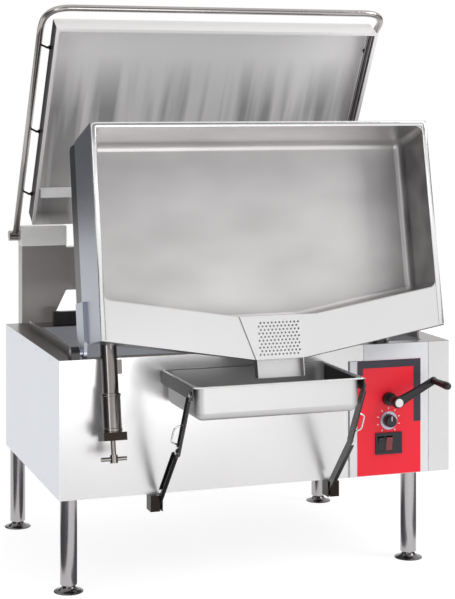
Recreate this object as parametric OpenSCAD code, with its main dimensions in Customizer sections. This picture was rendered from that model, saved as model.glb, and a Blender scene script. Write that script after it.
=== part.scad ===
// Tilting bratt pan on a free-standing cabinet, shown tilted forward with its cover open.
// Origin: on the floor, midway between the four feet. X to the right, Y to the back, Z up.

/* [Legs and feet] */
// Distance between leg centres, side to side
leg_span_x = 1116; // [1000:2:1160]
// Distance between leg centres, front to back
leg_span_y = 770; // [700:2:800]
// Outside diameter of a leg tube
leg_d = 50.8; // [46:0.1:56]
// Wall of a leg tube
leg_wall = 2; // [1.5:0.1:3]
// Diameter of a foot flange
foot_d = 88.9; // [86:0.1:110]
// Thickness of a foot flange
foot_t = 4; // [3:0.5:6]
// Height of the lower end of a leg tube above the floor
foot_h = 22; // [18:1:40]
// Diameter of a foot neck
foot_neck_d = 38; // [30:1:42]
// Side of the square of floor bolts in a foot flange
foot_hole_span = 47; // [44:0.5:49]
// Diameter of a floor bolt hole
foot_hole_d = 9; // [6:0.5:10]

/* [Cabinet] */
// Overhang of the cabinet beyond the left leg centres
cab_left = 36; // [27:1:52]
// Overhang of the cabinet beyond the right leg centres
cab_right = 127; // [112:1:152]
// Overhang of the cabinet ahead of the front leg centres
cab_front = 35; // [31:1:45]
// Overhang of the cabinet behind the rear leg centres
cab_rear = 27; // [23:1:45]
// Height of the cabinet underside above the floor
cab_z0 = 279; // [250:1:300]
// Height of the deck above the floor
cab_z1 = 696; // [690:1:700]
// Thickness of the cabinet sheet
sheet = 1.5; // [1:0.1:2]
// Height of the base frame bars
frame_h = 45; // [35:1:60]
// Thickness of the base frame bars
frame_t = 5; // [4:0.5:6]
// Left edge of the console
console_left = 340; // [335:1:345]
// Width of the open seam beside the console
seam = 7; // [4:0.5:9]
// Height of the top band above the console plate
band_h = 49; // [40:1:55]
// Width of the cover strip at the right end
end_strip = 72; // [60:1:74]

/* [Control plate] */
// Left edge of the red control plate
plate_left = 365; // [360:1:370]
// Width of the red control plate
plate_w = 219; // [200:1:222]
// Width of the dark border at the top and right
border_w = 24; // [16:1:30]
// Middle of the dial, crank and switches from the left end of the plate
control_x = 107; // [100:1:112]
// Height of the dial above the floor
dial_z = 452; // [446:1:458]
// Diameter of the dial bezel
bezel_d = 58; // [50:1:62]
// Diameter of the knob
knob_d = 41; // [34:1:44]
// Height of the middle of the switch block
switch_z = 380; // [372:1:388]
// Width of the switch block
switch_w = 90; // [84:1:96]
// Height of the switch block
switch_h = 68; // [60:1:72]

/* [Crank] */
// Height of the crank shaft above the floor
crank_z = 521; // [516:1:526]
// Diameter of the crank shaft
crank_d = 16; // [14:1:18]
// Reach of the crank shaft ahead of the cabinet
crank_reach = 81; // [70:1:90]
// Length of the crank arm between centres
crank_len = 136; // [120:1:160]
// Angle of the crank arm above the horizontal
crank_angle = 27; // [0:1:60]
// Diameter of the crank grip
grip_d = 24; // [20:1:30]
// Length of the crank grip
grip_len = 100; // [80:1:120]

/* [Pan] */
// Tilt of the pan
tilt = 78.5; // [70:0.5:82]
// Left edge of the pan rim, left of the origin
pan_left = 508; // [500:1:512]
// Width of the pan over its rim
pan_w = 1095; // [1080:1:1105]
// Depth of the pan over its rim, front to back
pan_dp = 642; // [620:1:650]
// Height of the level rim above the floor
rim_z = 907.5; // [904:0.5:914]
// Distance of the level front rim from the tilt axis
rim_back = 24; // [23:0.5:30]
// Height of the pan jacket
jacket_h = 215; // [205:1:218]
// Width of the rim
rim_w = 16; // [12:1:20]
// How much shorter the pan is at its underside
rear_taper = 22; // [10:1:30]
// Sheet of the pan jacket
jacket_t = 2; // [1.5:0.5:3]
// Sheet of the cooking vessel
vessel_t = 3; // [2:0.5:4]
// Thickness of the cooking floor
floor_t = 16; // [10:1:20]
// Depth of the cooking vessel below the rim
vessel_h = 178; // [160:1:185]
// Radius of the vessel corners
vessel_r = 24; // [16:1:40]

/* [Pouring lip and spout] */
// Setback of the vessel edge behind the front rim at the sides
lip_in_side = 115; // [105:1:125]
// Setback of the vessel edge at the middle
lip_in_mid = 50; // [45:1:60]
// Width of the straight middle of the vessel edge
lip_in_w = 245; // [220:1:260]
// Reach of the lip ahead of the front rim
lip_tip = 79; // [60:1:85]
// Width of the spout
spout_w = 156; // [140:1:170]
// Length of the spout ahead of the lip
spout_len = 54; // [40:1:60]
// Depth of the spout trough
spout_h = 25; // [20:1:30]
// Plate of the lip and spout
lip_t = 2; // [1.5:0.5:3]
// Diameter of a strainer hole
strain_d = 6; // [4:0.5:8]
// Distance between strainer holes
strain_pitch = 12; // [10:0.5:16]

/* [Heater] */
// Depth of the heater box below the jacket
heater_h = 70; // [60:1:76]
// Right end of the heater box from the left edge of the pan
heater_w = 940; // [900:1:945]
// Diameter of a heating element
element_d = 12; // [8:1:16]
// Number of heating elements
element_n = 6; // [4:1:8]

/* [Tilting gear] */
// Height of the tilt axis above the floor
axis_z = 712; // [710:0.5:714]
// Distance of the tilt axis behind the cabinet front
axis_back = 25; // [24:0.5:26]
// Diameter of a trunnion shaft
trunnion_d = 24; // [20:1:26]
// Diameter of a bearing head
bearing_d = 40; // [36:1:42]
// Pitch radius of the gear sector
sector_r = 130; // [126:2:130]
// Thickness of the gear sector
sector_t = 8; // [6:1:10]
// Direction in which the worm meets the sector, below the horizontal
mesh_drop = 17; // [16:0.5:18]
// Pitch radius of the worm
worm_r = 14; // [13:0.5:16]

/* [Draw-off valve] */
// Distance of the draw-off tube from the left edge of the pan
tube_in = 58; // [55:1:70]
// Depth of the draw-off tube below the rim
tube_down = 146; // [135:1:155]
// Outside diameter of the draw-off tube
tube_d = 49; // [45:1:52]
// Length of the draw-off tube between the front rim and its sleeve
tube_len = 150; // [140:1:155]
// Outside diameter of the sleeve on the tube
sleeve_d = 57; // [54:1:60]
// Length of the sleeve
sleeve_len = 112; // [100:1:118]
// Width of the square nut over its flats
nut_w = 70; // [64:1:76]
// Thickness of the square nut
nut_t = 24; // [18:1:30]
// Distance of the T-bar ahead of the front rim
tee_reach = 339; // [335:1:350]
// Length of the T-bar
tee_len = 77; // [60:1:90]

/* [Cover] */
// Angle at which the cover stands open
cover_open = 59.5; // [50:0.5:70]
// Height of the cover hinge above the floor
hinge_z = 998; // [994:1:1004]
// Distance of the cover hinge behind the cabinet
hinge_y = 28; // [24:1:34]
// Left edge of the cover, left of the origin
cover_left = 521; // [515:1:526]
// Width of the cover
cover_w = 1111; // [1100:1:1116]
// Distance of the rear edge of the cover from its hinge
cover_near = 105; // [100:1:112]
// Distance of the front edge of the cover from its hinge
cover_far = 860; // [850:1:870]
// Depth of the cover skirt
cover_h = 73; // [60:1:74]
// Sheet of the cover
cover_t = 2; // [1.5:0.5:3]
// Diameter of the handle tube
bar_d = 22; // [20:0.5:26]
// Left handle tube, left of the origin
bar_left = 555; // [550:1:560]
// Distance between the handle tubes
bar_span = 1177; // [1170:1:1184]
// Distance of the kink of the handle from the hinge
bar_kink = 819; // [780:1:830]
// Length of the handle beyond its kink
bar_nose = 115; // [100:1:140]
// Angle of the kink of the handle
bar_drop = 28; // [15:1:35]
// Bend radius of the handle tube
bar_bend = 50; // [40:1:60]

/* [Hinge towers] */
// Left face of the left tower, left of the origin
tower_left = 539; // [535:1:541]
// Width of a tower
tower_w = 156; // [140:1:160]
// Depth of a tower
tower_dp = 62; // [58:1:64]
// Height of a tower above the floor
tower_top = 1030; // [1026:1:1036]
// Height of the tower cap
cap_h = 66; // [60:1:70]
// Lowest point of the rear beam above the floor
beam_z = 806; // [780:1:830]
// Diameter of the hinge shaft
hinge_d = 25; // [22:0.5:28]
// Diameter of a shaft collar
collar_d = 36; // [34:1:40]

/* [Receiving pan] */
// Width of the receiving pan over its rim
tray_w = 530; // [500:1:535]
// Depth of the receiving pan over its rim, front to back
tray_dp = 325; // [300:1:330]
// Height of the receiving pan
tray_h = 100; // [65:1:102]
// Left edge of the receiving pan, left of the origin
tray_left = 279; // [275:1:283]
// Height of the receiving pan rim above the floor
tray_z = 651; // [648:1:652]
// Sheet of the receiving pan
tray_t = 1.2; // [0.8:0.1:1.5]
// Width of the receiving pan rim
tray_rim = 12; // [8:1:14]

/* [Receiving pan carrier] */
// Height of a carrier rail
rail_h = 36; // [30:1:40]
// Distance between the pivots of a rail
rail_len = 290; // [285:1:292]
// Length of the upper folding arm
upper_len = 214; // [212:0.5:220]
// Length of the lower folding arm
lower_len = 259; // [257:0.5:264]
// Width of the folding arms
arm_w = 24; // [18:1:24]
// Thickness of the folding arms
arm_t = 4; // [3:0.5:4]
// Distance of the carrier pivots from the cabinet front
pivot_out = 12.5; // [12.5:0.5:18]
// Drop of the lower pivot below the cabinet
pivot_drop = 23; // [18:1:28]
// Diameter of the carrier pivot pins
pivot_d = 8; // [6:0.5:10]

/* [Hidden] */
$fn = 48;

// Overrun of a cut
over = 1;
// Radial clearance of a running fit
run = 0.05;
// Gap between pieces that pass or lie on each other
gap = 0.5;

module box(a, b) { translate(a) cube(b - a); }
// Profile drawn in Y and Z, carried along X from x0 by w
module along_x(x0, w) { translate([x0, 0, 0]) rotate([90, 0, 90]) linear_extrude(w) children(); }
// Profile drawn in X and Z, carried forward from y1 by d
module along_y(y1, d) { translate([0, y1, 0]) rotate([90, 0, 0]) linear_extrude(d) children(); }
module rod_x(x0, w, d) { translate([x0, 0, 0]) rotate([0, 90, 0]) cylinder(d = d, h = w); }
module rod_y(y1, w, d) { translate([0, y1, 0]) rotate([90, 0, 0]) cylinder(d = d, h = w); }

// Cabinet shell, outer and inner faces
x0 = -leg_span_x / 2 - cab_left;
x1 = leg_span_x / 2 + cab_right;
y0 = -leg_span_y / 2 - cab_front;
y1 = leg_span_y / 2 + cab_rear;
hinge_at = y1 + hinge_y;
deck_u = cab_z1 - sheet;
frame_top = cab_z0 + frame_h;
band_z = deck_u - band_h;
seam_x = console_left - seam;
band_split = 46;
band_x = console_left + band_split;
control_cx = plate_left + control_x;
hair = 1.5;

// Tilt axis and pan, level, measured from the tilt axis
axis_y = y0 + axis_back;
px0 = -pan_left;
px1 = px0 + pan_w;
py0 = rim_back;
py1 = py0 + pan_dp;
pz1 = rim_z - axis_z;
pz0 = pz1 - jacket_h;
pcx = px0 + pan_w / 2;
module pan_frame() { translate([0, axis_y, axis_z]) rotate([tilt, 0, 0]) children(); }
module cover_frame() { translate([0, hinge_at, hinge_z]) rotate([-cover_open, 0, 0]) children(); }

// Legs and feet
plug_h = 40;
dome_h = 8;
dome_d = 54;
socket_in = 45;
socket_t = 6;
spigot_h = 60;
module leg_places() {
    for (sx = [-1, 1], sy = [-1, 1])
        translate([sx * leg_span_x / 2, sy * leg_span_y / 2, 0]) children();
}
module leg_tubes() color("silver") leg_places()
    translate([0, 0, foot_h]) difference() {
        cylinder(d = leg_d, h = frame_top - foot_h);
        translate([0, 0, -over]) cylinder(d = leg_d - 2 * leg_wall, h = frame_top - foot_h + 2 * over);
    }
module flanged_feet() color("gainsboro") leg_places() difference() {
    union() {
        cylinder(d = foot_d, h = foot_t);
        translate([0, 0, foot_t]) cylinder(d1 = dome_d, d2 = foot_neck_d, h = dome_h);
        cylinder(d = foot_neck_d, h = foot_h + over);
        translate([0, 0, foot_h]) cylinder(d = leg_d - 2 * (leg_wall + run), h = plug_h);
    }
    for (sx = [-1, 1], sy = [-1, 1])
        translate([sx * foot_hole_span / 2, sy * foot_hole_span / 2, -over])
            cylinder(d = foot_hole_d, h = foot_t + 2 * over);
}
module leg_sockets() color("dimgray") for (sx = [-1, 1], sy = [-1, 1]) {
    lx = sx * leg_span_x / 2;
    ly = sy * leg_span_y / 2;
    ax = sx < 0 ? x0 + sheet : max(lx - socket_in, block2_x + block_w + gap);
    bx = sx < 0 ? max(lx + socket_in, well_x0) : x1 - sheet;
    ay = sy < 0 ? y0 + sheet : ly - socket_in;
    by = sy < 0 ? ly + socket_in : y1 - sheet;
    box([ax, ay, frame_top], [bx, by, frame_top + socket_t]);
    translate([lx, ly, frame_top - spigot_h]) cylinder(d = leg_d - 2 * (leg_wall + run), h = spigot_h);
}

// Base frame: a ring of flat bar with two cross rails
rail_w = 70;
rail_in = 294;
rail_wall = 4;
module cross_rail(x) difference() {
    box([x, y0 + sheet + frame_t, cab_z0], [x + rail_w, y1 - sheet - frame_t, frame_top]);
    box([x + rail_wall, y0 + sheet + frame_t - over, cab_z0 + rail_wall],
        [x + rail_w - rail_wall, y1 - sheet - frame_t + over, frame_top - rail_wall]);
}
module base_frame() color("gray") difference() {
    union() {
        difference() {
            box([x0 + sheet, y0 + sheet, cab_z0], [x1 - sheet, y1 - sheet, frame_top]);
            box([x0 + sheet + frame_t, y0 + sheet + frame_t, cab_z0 - over],
                [x1 - sheet - frame_t, y1 - sheet - frame_t, frame_top + over]);
        }
        cross_rail(x0 + rail_in);
        cross_rail(control_cx - rail_w / 2);
    }
    leg_places() translate([0, 0, cab_z0 - over]) cylinder(d = leg_d + 2 * gap, h = frame_h + 2 * over);
}

// Cabinet sheets
slot_w = 4;
slot_h = 9;
slot_drop = 20;
slot_z = cab_z1 - slot_drop;
slot_first = 127;
slot_n = 4;
slot_step = (y1 - y0) / slot_n;
return_w = 22;
module left_panel() color("gainsboro") difference() {
    box([x0, y0, cab_z0], [x0 + sheet, y1, deck_u]);
    for (i = [0 : slot_n - 1])
        box([x0 - over, y0 + slot_first + i * slot_step, slot_z],
            [x0 + sheet + over, y0 + slot_first + i * slot_step + slot_w, slot_z + slot_h]);
}
module front_panel() color("whitesmoke") {
    box([x0 + sheet, y0, cab_z0], [seam_x, y0 + sheet, deck_u]);
    box([seam_x, y0, band_z], [band_x, y0 + sheet, deck_u]);
    box([seam_x - sheet, y0 + sheet, frame_top], [seam_x, y0 + return_w, band_z]);
}
louvre_n = 7;
louvre_w = 150;
louvre_h = 8;
louvre_step = 24;
louvre_up = 90;
louvre_z = cab_z0 + louvre_up;
gland_side = 85;
gland_up = 75;
gland_x = x1 - gland_side;
gland_z = cab_z0 + gland_up;
gland_d = 32;
module rear_panel() color("gainsboro") difference() {
    box([x0 + sheet, y1 - sheet, cab_z0], [x1 - sheet, y1, deck_u]);
    for (k = [0 : 2], i = [0 : louvre_n - 1])
        box([x0 + (k + 0.5) * (x1 - x0) / 4, y1 - sheet - over, louvre_z + i * louvre_step],
            [x0 + (k + 0.5) * (x1 - x0) / 4 + louvre_w, y1 + over, louvre_z + i * louvre_step + louvre_h]);
    translate([gland_x, 0, gland_z]) rod_y(y1 + over, sheet + 2 * over, gland_d + 2 * run);
}
module right_panel() color("lightgray") {
    box([x1 - sheet, y0, cab_z0], [x1, y1, deck_u]);
    box([x1 - end_strip, y0, cab_z0], [x1 - sheet, y0 + sheet, deck_u]);
}
bearing_hole = 34;
spindle_d = 6;
spindle_hole = 12;
bezel_in = 5;
cut_w = switch_w - 2 * bezel_in;
cut_h = switch_h - 2 * bezel_in;
module control_holes(y, t) {
    translate([control_cx, 0, crank_z]) rod_y(y + over, t + 2 * over, bearing_hole + 2 * run);
    translate([control_cx, 0, dial_z]) rod_y(y + over, t + 2 * over, spindle_hole);
    box([control_cx - cut_w / 2, y - t - over, switch_z - cut_h / 2],
        [control_cx + cut_w / 2, y + over, switch_z + cut_h / 2]);
}
module console_front() color("white") difference() {
    union() {
        box([console_left, y0, cab_z0], [x1 - end_strip - hair, y0 + sheet, band_z - hair]);
        box([band_x + hair, y0, band_z - hair], [x1 - end_strip - hair, y0 + sheet, deck_u]);
        box([console_left, y0 + sheet, frame_top], [console_left + sheet, y0 + return_w, band_z - hair]);
    }
    control_holes(y0 + sheet, sheet);
}

// Deck with the well that the pan lies in, and raised edges beside it
well_side = 22;
well_front = 17;
well_rear = 19;
well_x0 = px0 - well_side;
well_x1 = px1 + well_side;
well_y0 = axis_y + well_front;
well_y1 = axis_y + py1 + well_rear;
edge_t = 6;
edge_h = 24;
edge_in = 53;
block_w = 26;
block_gap = 1;
block_x = max(well_x0 - block_w, x0 + sheet + gap);
block_sector = 7;
block2_x = control_cx - sector_t / 2 - block_sector - block_w;
window_front = 4;
module deck() color("silver") {
    difference() {
        box([x0, y0, deck_u], [x1, y1, cab_z1]);
        box([well_x0, well_y0, deck_u - over], [well_x1, well_y1, cab_z1 + over]);
        box([block_x - block_gap, y0 + window_front, deck_u - over],
            [px0 + block_gap, axis_y + bearing_d / 2 + block_gap, cab_z1 + over]);
        box([block2_x - block_gap, y0 + window_front, deck_u - over],
            [control_cx + sector_t, well_y0 + over, cab_z1 + over]);
    }
    for (x = [well_x0 - edge_t, well_x1])
        box([x, y0 + edge_in + well_side, cab_z1], [x + edge_t, well_y1, cab_z1 + edge_h]);
}
rest_in = 145;
rest_back = 16;
rest_t = 24;
rest_h = 48;
module rear_rest_bar() color("black")
    box([x0 + rest_in, well_y1 + rest_back, cab_z1], [x1 - rest_in, well_y1 + rest_back + rest_t, cab_z1 + rest_h]);

// Control plate and its border
plate_t = 1.2;
border_t = 0.6;
border_drop = 200;
border_left_drop = 46;
plate_top = band_z - hair;
py = y0 - plate_t;
module control_plate() color("crimson") difference() {
    box([plate_left, py, cab_z0 + hair], [plate_left + plate_w, y0, plate_top]);
    control_holes(y0, plate_t);
}
module control_border() color("darkslategray") {
    box([plate_left, py - border_t, plate_top - border_w], [plate_left + plate_w, py, plate_top]);
    box([plate_left + plate_w - border_w, py - border_t, plate_top - border_drop],
        [plate_left + plate_w, py, plate_top - border_w]);
    box([plate_left, py - border_t, plate_top - border_left_drop],
        [plate_left + 0.8 * border_w, py, plate_top - border_w]);
}

// Thermostat
bezel_t = 4;
knob_len = 22;
knob_bore = 14;
grip_bar = 8;
body_w = 44;
body_t = 34;
module dial_bezel() color("darkgray") translate([control_cx, 0, dial_z]) difference() {
    rod_y(py, bezel_t, bezel_d);
    rod_y(py + over, bezel_t + 2 * over, spindle_hole);
}
knob_y = py - bezel_t - gap;
module thermostat_knob() color("black") translate([control_cx, 0, dial_z]) difference() {
    union() {
        rod_y(knob_y, knob_len / 2, knob_d);
        rod_y(knob_y - knob_len / 2, knob_len / 2, knob_d * 0.8);
        box([-grip_bar / 2, knob_y - knob_len - hair, -knob_d * 0.4], [grip_bar / 2, knob_y - knob_len, knob_d * 0.4]);
    }
    rod_y(knob_y + over, knob_bore + over, spindle_d + 2 * run);
}
module thermostat_body() color("tan") translate([control_cx, 0, dial_z]) {
    box([-body_w / 2, y0 + sheet, -body_w / 2], [body_w / 2, y0 + sheet + body_t, body_w / 2]);
    rod_y(y0 + sheet, y0 + sheet - knob_y + knob_bore - gap, spindle_d);
}

// Switch block with two rockers and a blank field
bezel_out = 6;
bezel_back = 22;
rocker_w = 22;
rocker_h = 46;
rocker_pitch = 27;
rocker_gap = 0.8;
rocker_rest = 8;
pin_d = 3;
pin_out = 1.2;
pin_end = 0.3;
pivot_fore = 2;
pivot_y = py - pivot_fore;
module rocker_place(i) translate([control_cx + (i - 1) * rocker_pitch, pivot_y, switch_z]) children();
module switch_bezel() color("black") difference() {
    union() {
        box([control_cx - switch_w / 2, py - bezel_out, switch_z - switch_h / 2],
            [control_cx + switch_w / 2, py, switch_z + switch_h / 2]);
        box([control_cx - cut_w / 2 + gap, py, switch_z - cut_h / 2 + gap],
            [control_cx + cut_w / 2 - gap, y0 + bezel_back, switch_z + cut_h / 2 - gap]);
    }
    for (i = [0, 1]) rocker_place(i) {
        box([-rocker_w / 2 - rocker_gap, -bezel_out, -rocker_h / 2 - rocker_gap],
            [rocker_w / 2 + rocker_gap, bezel_back - rocker_pitch / 4, rocker_h / 2 + rocker_gap]);
        rod_x(-rocker_w / 2 - rocker_gap - pin_out - pin_end, rocker_w + 2 * (rocker_gap + pin_out + pin_end), pin_d + 2 * run);
    }
}
module rocker(i) rocker_place(i) rotate([rocker_rest, 0, 0]) {
    along_x(-rocker_w / 2, rocker_w)
        polygon([[-bezel_out - hair, rocker_h / 2 - hair], [-bezel_out + hair, 0], [-bezel_out - hair, hair - rocker_h / 2],
            [bezel_out, -rocker_h / 3], [bezel_out, rocker_h / 3]]);
    rod_x(-rocker_w / 2 - rocker_gap - pin_out, rocker_w + 2 * rocker_gap + 2 * pin_out, pin_d);
}
module power_rocker() color("firebrick") rocker(1);
module heat_rocker() color("black") rocker(0);

// Supply: contactor box and cable gland
box_w = 110;
box_x = x1 - sheet - box_w;
box_y = 20;
box_l = 230;
box_up = 110;
box_z = cab_z0 + box_up;
box_h = 190;
box_t = 2;
relay_w = 45;
module contactor_box() color("slategray") {
    difference() {
        box([box_x, -box_y - box_l, box_z], [x1 - sheet, -box_y, box_z + box_h]);
        box([box_x - over, -box_y - box_l + box_t, box_z + box_t], [x1 - sheet - box_t, -box_y - box_t, box_z + box_h - box_t]);
    }
    for (i = [0 : 2]) translate([0, -box_y - box_l + relay_w + i * 1.2 * relay_w, 0])
        box([x1 - sheet - box_t - relay_w, 0, box_z + relay_w], [x1 - sheet - box_t, relay_w, box_z + 3 * relay_w]);
}
gland_bore = 22;
gland_nut = 46;
gland_out = 20;
gland_in = 14;
module supply_gland() color("darkgray") translate([gland_x, 0, gland_z]) difference() {
    union() {
        rod_y(y1 + gland_out, gland_out + gland_in + sheet, gland_d);
        translate([0, y1 + gland_out / 2, 0]) rotate([90, 0, 0]) cylinder(d = gland_nut, h = gland_out / 2, $fn = 6);
        translate([0, y1 - sheet, 0]) rotate([90, 0, 0]) cylinder(d = gland_nut, h = gland_in / 2, $fn = 6);
    }
    rod_y(y1 + gland_out + over, gland_out + gland_in + sheet + 2 * over, gland_bore);
}

// Crank: the shaft runs back to the gearbox, the arm swings ahead of the console
boss_d = 42;
boss_t = 18;
barrel_in = 24;
arm_thick = 12;
arm_wide = 26;
hub_d = 34;
hub_t = 22;
cap_d = 26;
cap_t = 4;
grip_pin = 10;
crank_y = y0 - crank_reach;
module crank_bearing() color("black") translate([control_cx, 0, crank_z]) difference() {
    union() {
        rod_y(py, boss_t, boss_d);
        rod_y(y0 + barrel_in, barrel_in + plate_t, bearing_hole);
    }
    rod_y(y0 + barrel_in + over, barrel_in + plate_t + boss_t + 2 * over, crank_d + 2 * run);
}
module crank_shaft() color("dimgray") translate([control_cx, 0, crank_z])
    rod_y(gear_y, gear_y - crank_y, crank_d);
module at_crank() translate([control_cx, crank_y, crank_z]) rotate([0, -crank_angle, 0]) children();
module crank_arm() color("black") at_crank() difference() {
    union() {
        rod_y(hub_t, hub_t, hub_d);
        box([0, 0, -arm_wide / 2], [crank_len, arm_thick, arm_wide / 2]);
        translate([crank_len, 0, 0]) rod_y(arm_thick, arm_thick, arm_wide);
        translate([crank_len, 0, 0]) rod_y(0, grip_len + 2 * gap, grip_pin);
        translate([crank_len, 0, 0]) rod_y(-grip_len - 2 * gap, cap_t, grip_pin + 2 * cap_t);
    }
    rod_y(hub_t + over, hub_t + 2 * over, crank_d + 2 * run);
}
module crank_cap() color("white") at_crank() rod_y(0, cap_t, cap_d);
module crank_grip() color("black") at_crank() translate([crank_len, 0, 0]) difference() {
    translate([0, -gap, 0]) rotate([90, 0, 0]) cylinder(d1 = grip_d * 0.85, d2 = grip_d, h = grip_len);
    rod_y(-gap + over, grip_len + 2 * over, grip_pin + 2 * run);
}

// Tilting gear: the crank turns a gearbox, whose inclined shaft carries the worm
mesh_a = -mesh_drop;
// Module of the gear teeth
tooth_m = 4;
teeth = round(2 * sector_r / tooth_m);
centre_r = sector_r + worm_r;
lead = PI * tooth_m;
step_a = 360 / teeth;
addendum = 3.4;
dedendum = 4.6;
tooth_w = 4.2;
thread_w = 4.4;
thread_tip = 2;
worm_len = 36;
worm_shaft_d = 16;
nose_d = 28;
nose_back = 48;
gearbox_w = 70;
gearbox_l = 80;
// Middle of the worm, and the point where its shaft meets the height of the crank
worm_y = axis_y + centre_r * cos(mesh_a);
worm_z = axis_z + centre_r * sin(mesh_a);
gear_drop = (worm_z - crank_z) / cos(mesh_a);
gear_y = worm_y + gear_drop * sin(mesh_a);
module at_worm() translate([control_cx, worm_y, worm_z]) rotate([mesh_a, 0, 0]) children();
module tilt_gearbox() color("gray") difference() {
    union() {
        box([control_cx - gearbox_w / 2, gear_y - gearbox_l / 2, crank_z - gearbox_l / 2],
            [control_cx + gearbox_w / 2, gear_y + gearbox_l / 2, crank_z + gearbox_l / 2]);
        at_worm() translate([0, 0, -gear_drop]) cylinder(d = nose_d, h = gear_drop - nose_back);
        box([control_cx - gearbox_w / 4, gear_y - gearbox_l / 4, frame_top],
            [control_cx + gearbox_w / 4, gear_y + gearbox_l / 4, crank_z - gearbox_l / 2]);
    }
    at_worm() translate([0, 0, crank_d - gap - gear_drop]) cylinder(d = worm_shaft_d + 2 * run, h = gear_drop);
    translate([control_cx, 0, crank_z]) rod_y(gear_y, gearbox_l, crank_d + 2 * run);
}
// One unbroken screw thread of four-sided section, point by point along its helix
thread_n = 24;
thread_turns = 2;
function thread_ring(i) = let (a = 360 * i / thread_n, h = lead * (i / thread_n - thread_turns / 2))
    [for (p = [[-dedendum - over, -thread_w], [addendum, -thread_tip / 2], [addendum, thread_tip / 2],
        [-dedendum - over, thread_w]]) [(worm_r + p[0]) * cos(a), (worm_r + p[0]) * sin(a), h + p[1]]];
module thread() {
    n = round(thread_n * thread_turns);
    pts = [for (i = [0 : n]) each thread_ring(i)];
    sides = [for (i = [0 : n - 1], k = [0 : 3])
        each [[4 * i + k, 4 * i + 4 + (k + 1) % 4, 4 * i + 4 + k], [4 * i + k, 4 * i + (k + 1) % 4, 4 * i + 4 + (k + 1) % 4]]];
    ends = [[0, 3, 2], [0, 2, 1], [4 * n, 4 * n + 1, 4 * n + 2], [4 * n, 4 * n + 2, 4 * n + 3]];
    polyhedron(pts, concat(sides, ends));
}
// Turns the thread so that a crest lies at the mesh point on the side of the sector
thread_turn = -90 - 180 * thread_turns;
module worm_shaft() color("lightgray") at_worm() {
    translate([0, 0, -gear_drop + crank_d]) cylinder(d = worm_shaft_d, h = gear_drop - crank_d - worm_len / 2 + over);
    translate([0, 0, -worm_len / 2]) cylinder(r = worm_r - dedendum, h = worm_len);
    rotate([0, 0, thread_turn]) thread();
}
tooth_first = -1;
tooth_last = 14;
hub_r = 19;
sector_end = 0.85 * step_a;
module gear_sector() color("darkgray") pan_frame() difference() {
    along_x(control_cx - sector_t / 2, sector_t) difference() {
        union() {
            intersection() {
                circle(r = sector_r - dedendum, $fn = 2 * teeth);
                polygon([[0, 0], 2 * sector_r * [cos(mesh_a - tilt - sector_end), sin(mesh_a - tilt - sector_end)],
                    2 * sector_r * [cos(mesh_a - tilt / 2), sin(mesh_a - tilt / 2)],
                    2 * sector_r * [cos(mesh_a + step_a), sin(mesh_a + step_a)]]);
            }
            for (k = [tooth_first : tooth_last]) rotate(mesh_a - tilt + (k + 0.5) * step_a)
                polygon([[sector_r - dedendum - over, -tooth_w], [sector_r + addendum, -tooth_w / 4],
                    [sector_r + addendum, tooth_w / 4], [sector_r - dedendum - over, tooth_w]]);
            circle(r = hub_r);
        }
        polygon([[hub_r + gap, pz0], [2 * sector_r, pz0], [2 * sector_r, sector_r], [hub_r + gap, sector_r]]);
    }
    rod_x(control_cx - sector_t, 2 * sector_t, trunnion_d + 2 * run);
}

// Trunnions: posts with round heads on the frame, shafts on the pan
post_w = bearing_d;
lug_t = 10;
post_head = 60;
post_lean = 50;
post_back = 47;
post_thick = 36;
module bearing_bore(x) translate([0, axis_y, axis_z]) rod_x(x - over, block_w + 2 * over, trunnion_d + 2 * run);
module trunnion_bearings() color("black") {
    difference() {
        union() {
            box([block_x, axis_y - post_w / 2, frame_top + socket_t], [well_x0, axis_y + post_w / 2, axis_z]);
            translate([0, axis_y, axis_z]) rod_x(block_x, well_x0 - block_x, bearing_d);
        }
        bearing_bore(block_x);
    }
    difference() {
        translate([0, axis_y, axis_z]) union() {
            rod_x(block2_x, block_w, bearing_d);
            along_x(block2_x, block_w) polygon([[-post_w / 2, 0], [-post_w / 2, -post_head],
                [post_back - post_thick, -post_head - post_lean], [post_back - post_thick, frame_top - axis_z],
                [post_back, frame_top - axis_z], [post_back, -post_head], [post_w / 2, -post_w], [post_w / 2, 0]]);
        }
        bearing_bore(block2_x);
    }
}
lug_back = 150;
lug_up = 30;
lug_down = 60;
module trunnion_shafts() color("dimgray") pan_frame() {
    rod_x(block_x, px0 - block_x, trunnion_d);
    along_x(px0 - lug_t, lug_t) {
        circle(r = hub_r);
        polygon([[0, -hub_r], [lug_down, -lug_down], [lug_back, -lug_down], [lug_back, lug_up], [lug_up, lug_up], [0, hub_r]]);
    }
    rod_x(block2_x, control_cx + sector_t / 2 + gap - block2_x, trunnion_d);
}

// Pan outlines in plan, drawn in by o
skin = 0.1;
rim_t = 3;
function rim_plan(o) = [[px0 + o, py1 - o], [px0 + o, py0 + o], [pcx - spout_w / 2, py0 - lip_tip + o],
    [pcx + spout_w / 2, py0 - lip_tip + o], [px1 - o, py0 + o], [px1 - o, py1 - o]];
function vessel_plan(o) = [[px0 + rim_w + o, py1 - rim_w - o], [px0 + rim_w + o, py0 + lip_in_side + o],
    [pcx - lip_in_w / 2, py0 + lip_in_mid + o], [pcx + lip_in_w / 2, py0 + lip_in_mid + o],
    [px1 - rim_w - o, py0 + lip_in_side + o], [px1 - rim_w - o, py1 - rim_w - o]];
module vessel_solid(o, up) hull() for (i = [0 : 5]) {
    p = vessel_plan(o + vessel_r)[i];
    back = i == 0 || i == 5 ? rear_taper : 0;
    translate([p.x, p.y, pz1 + up - skin]) cylinder(r = vessel_r, h = skin, $fn = 32);
    translate([p.x, p.y - back, pz1 - vessel_h + vessel_r + o]) sphere(r = vessel_r, $fn = 32);
}
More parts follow.
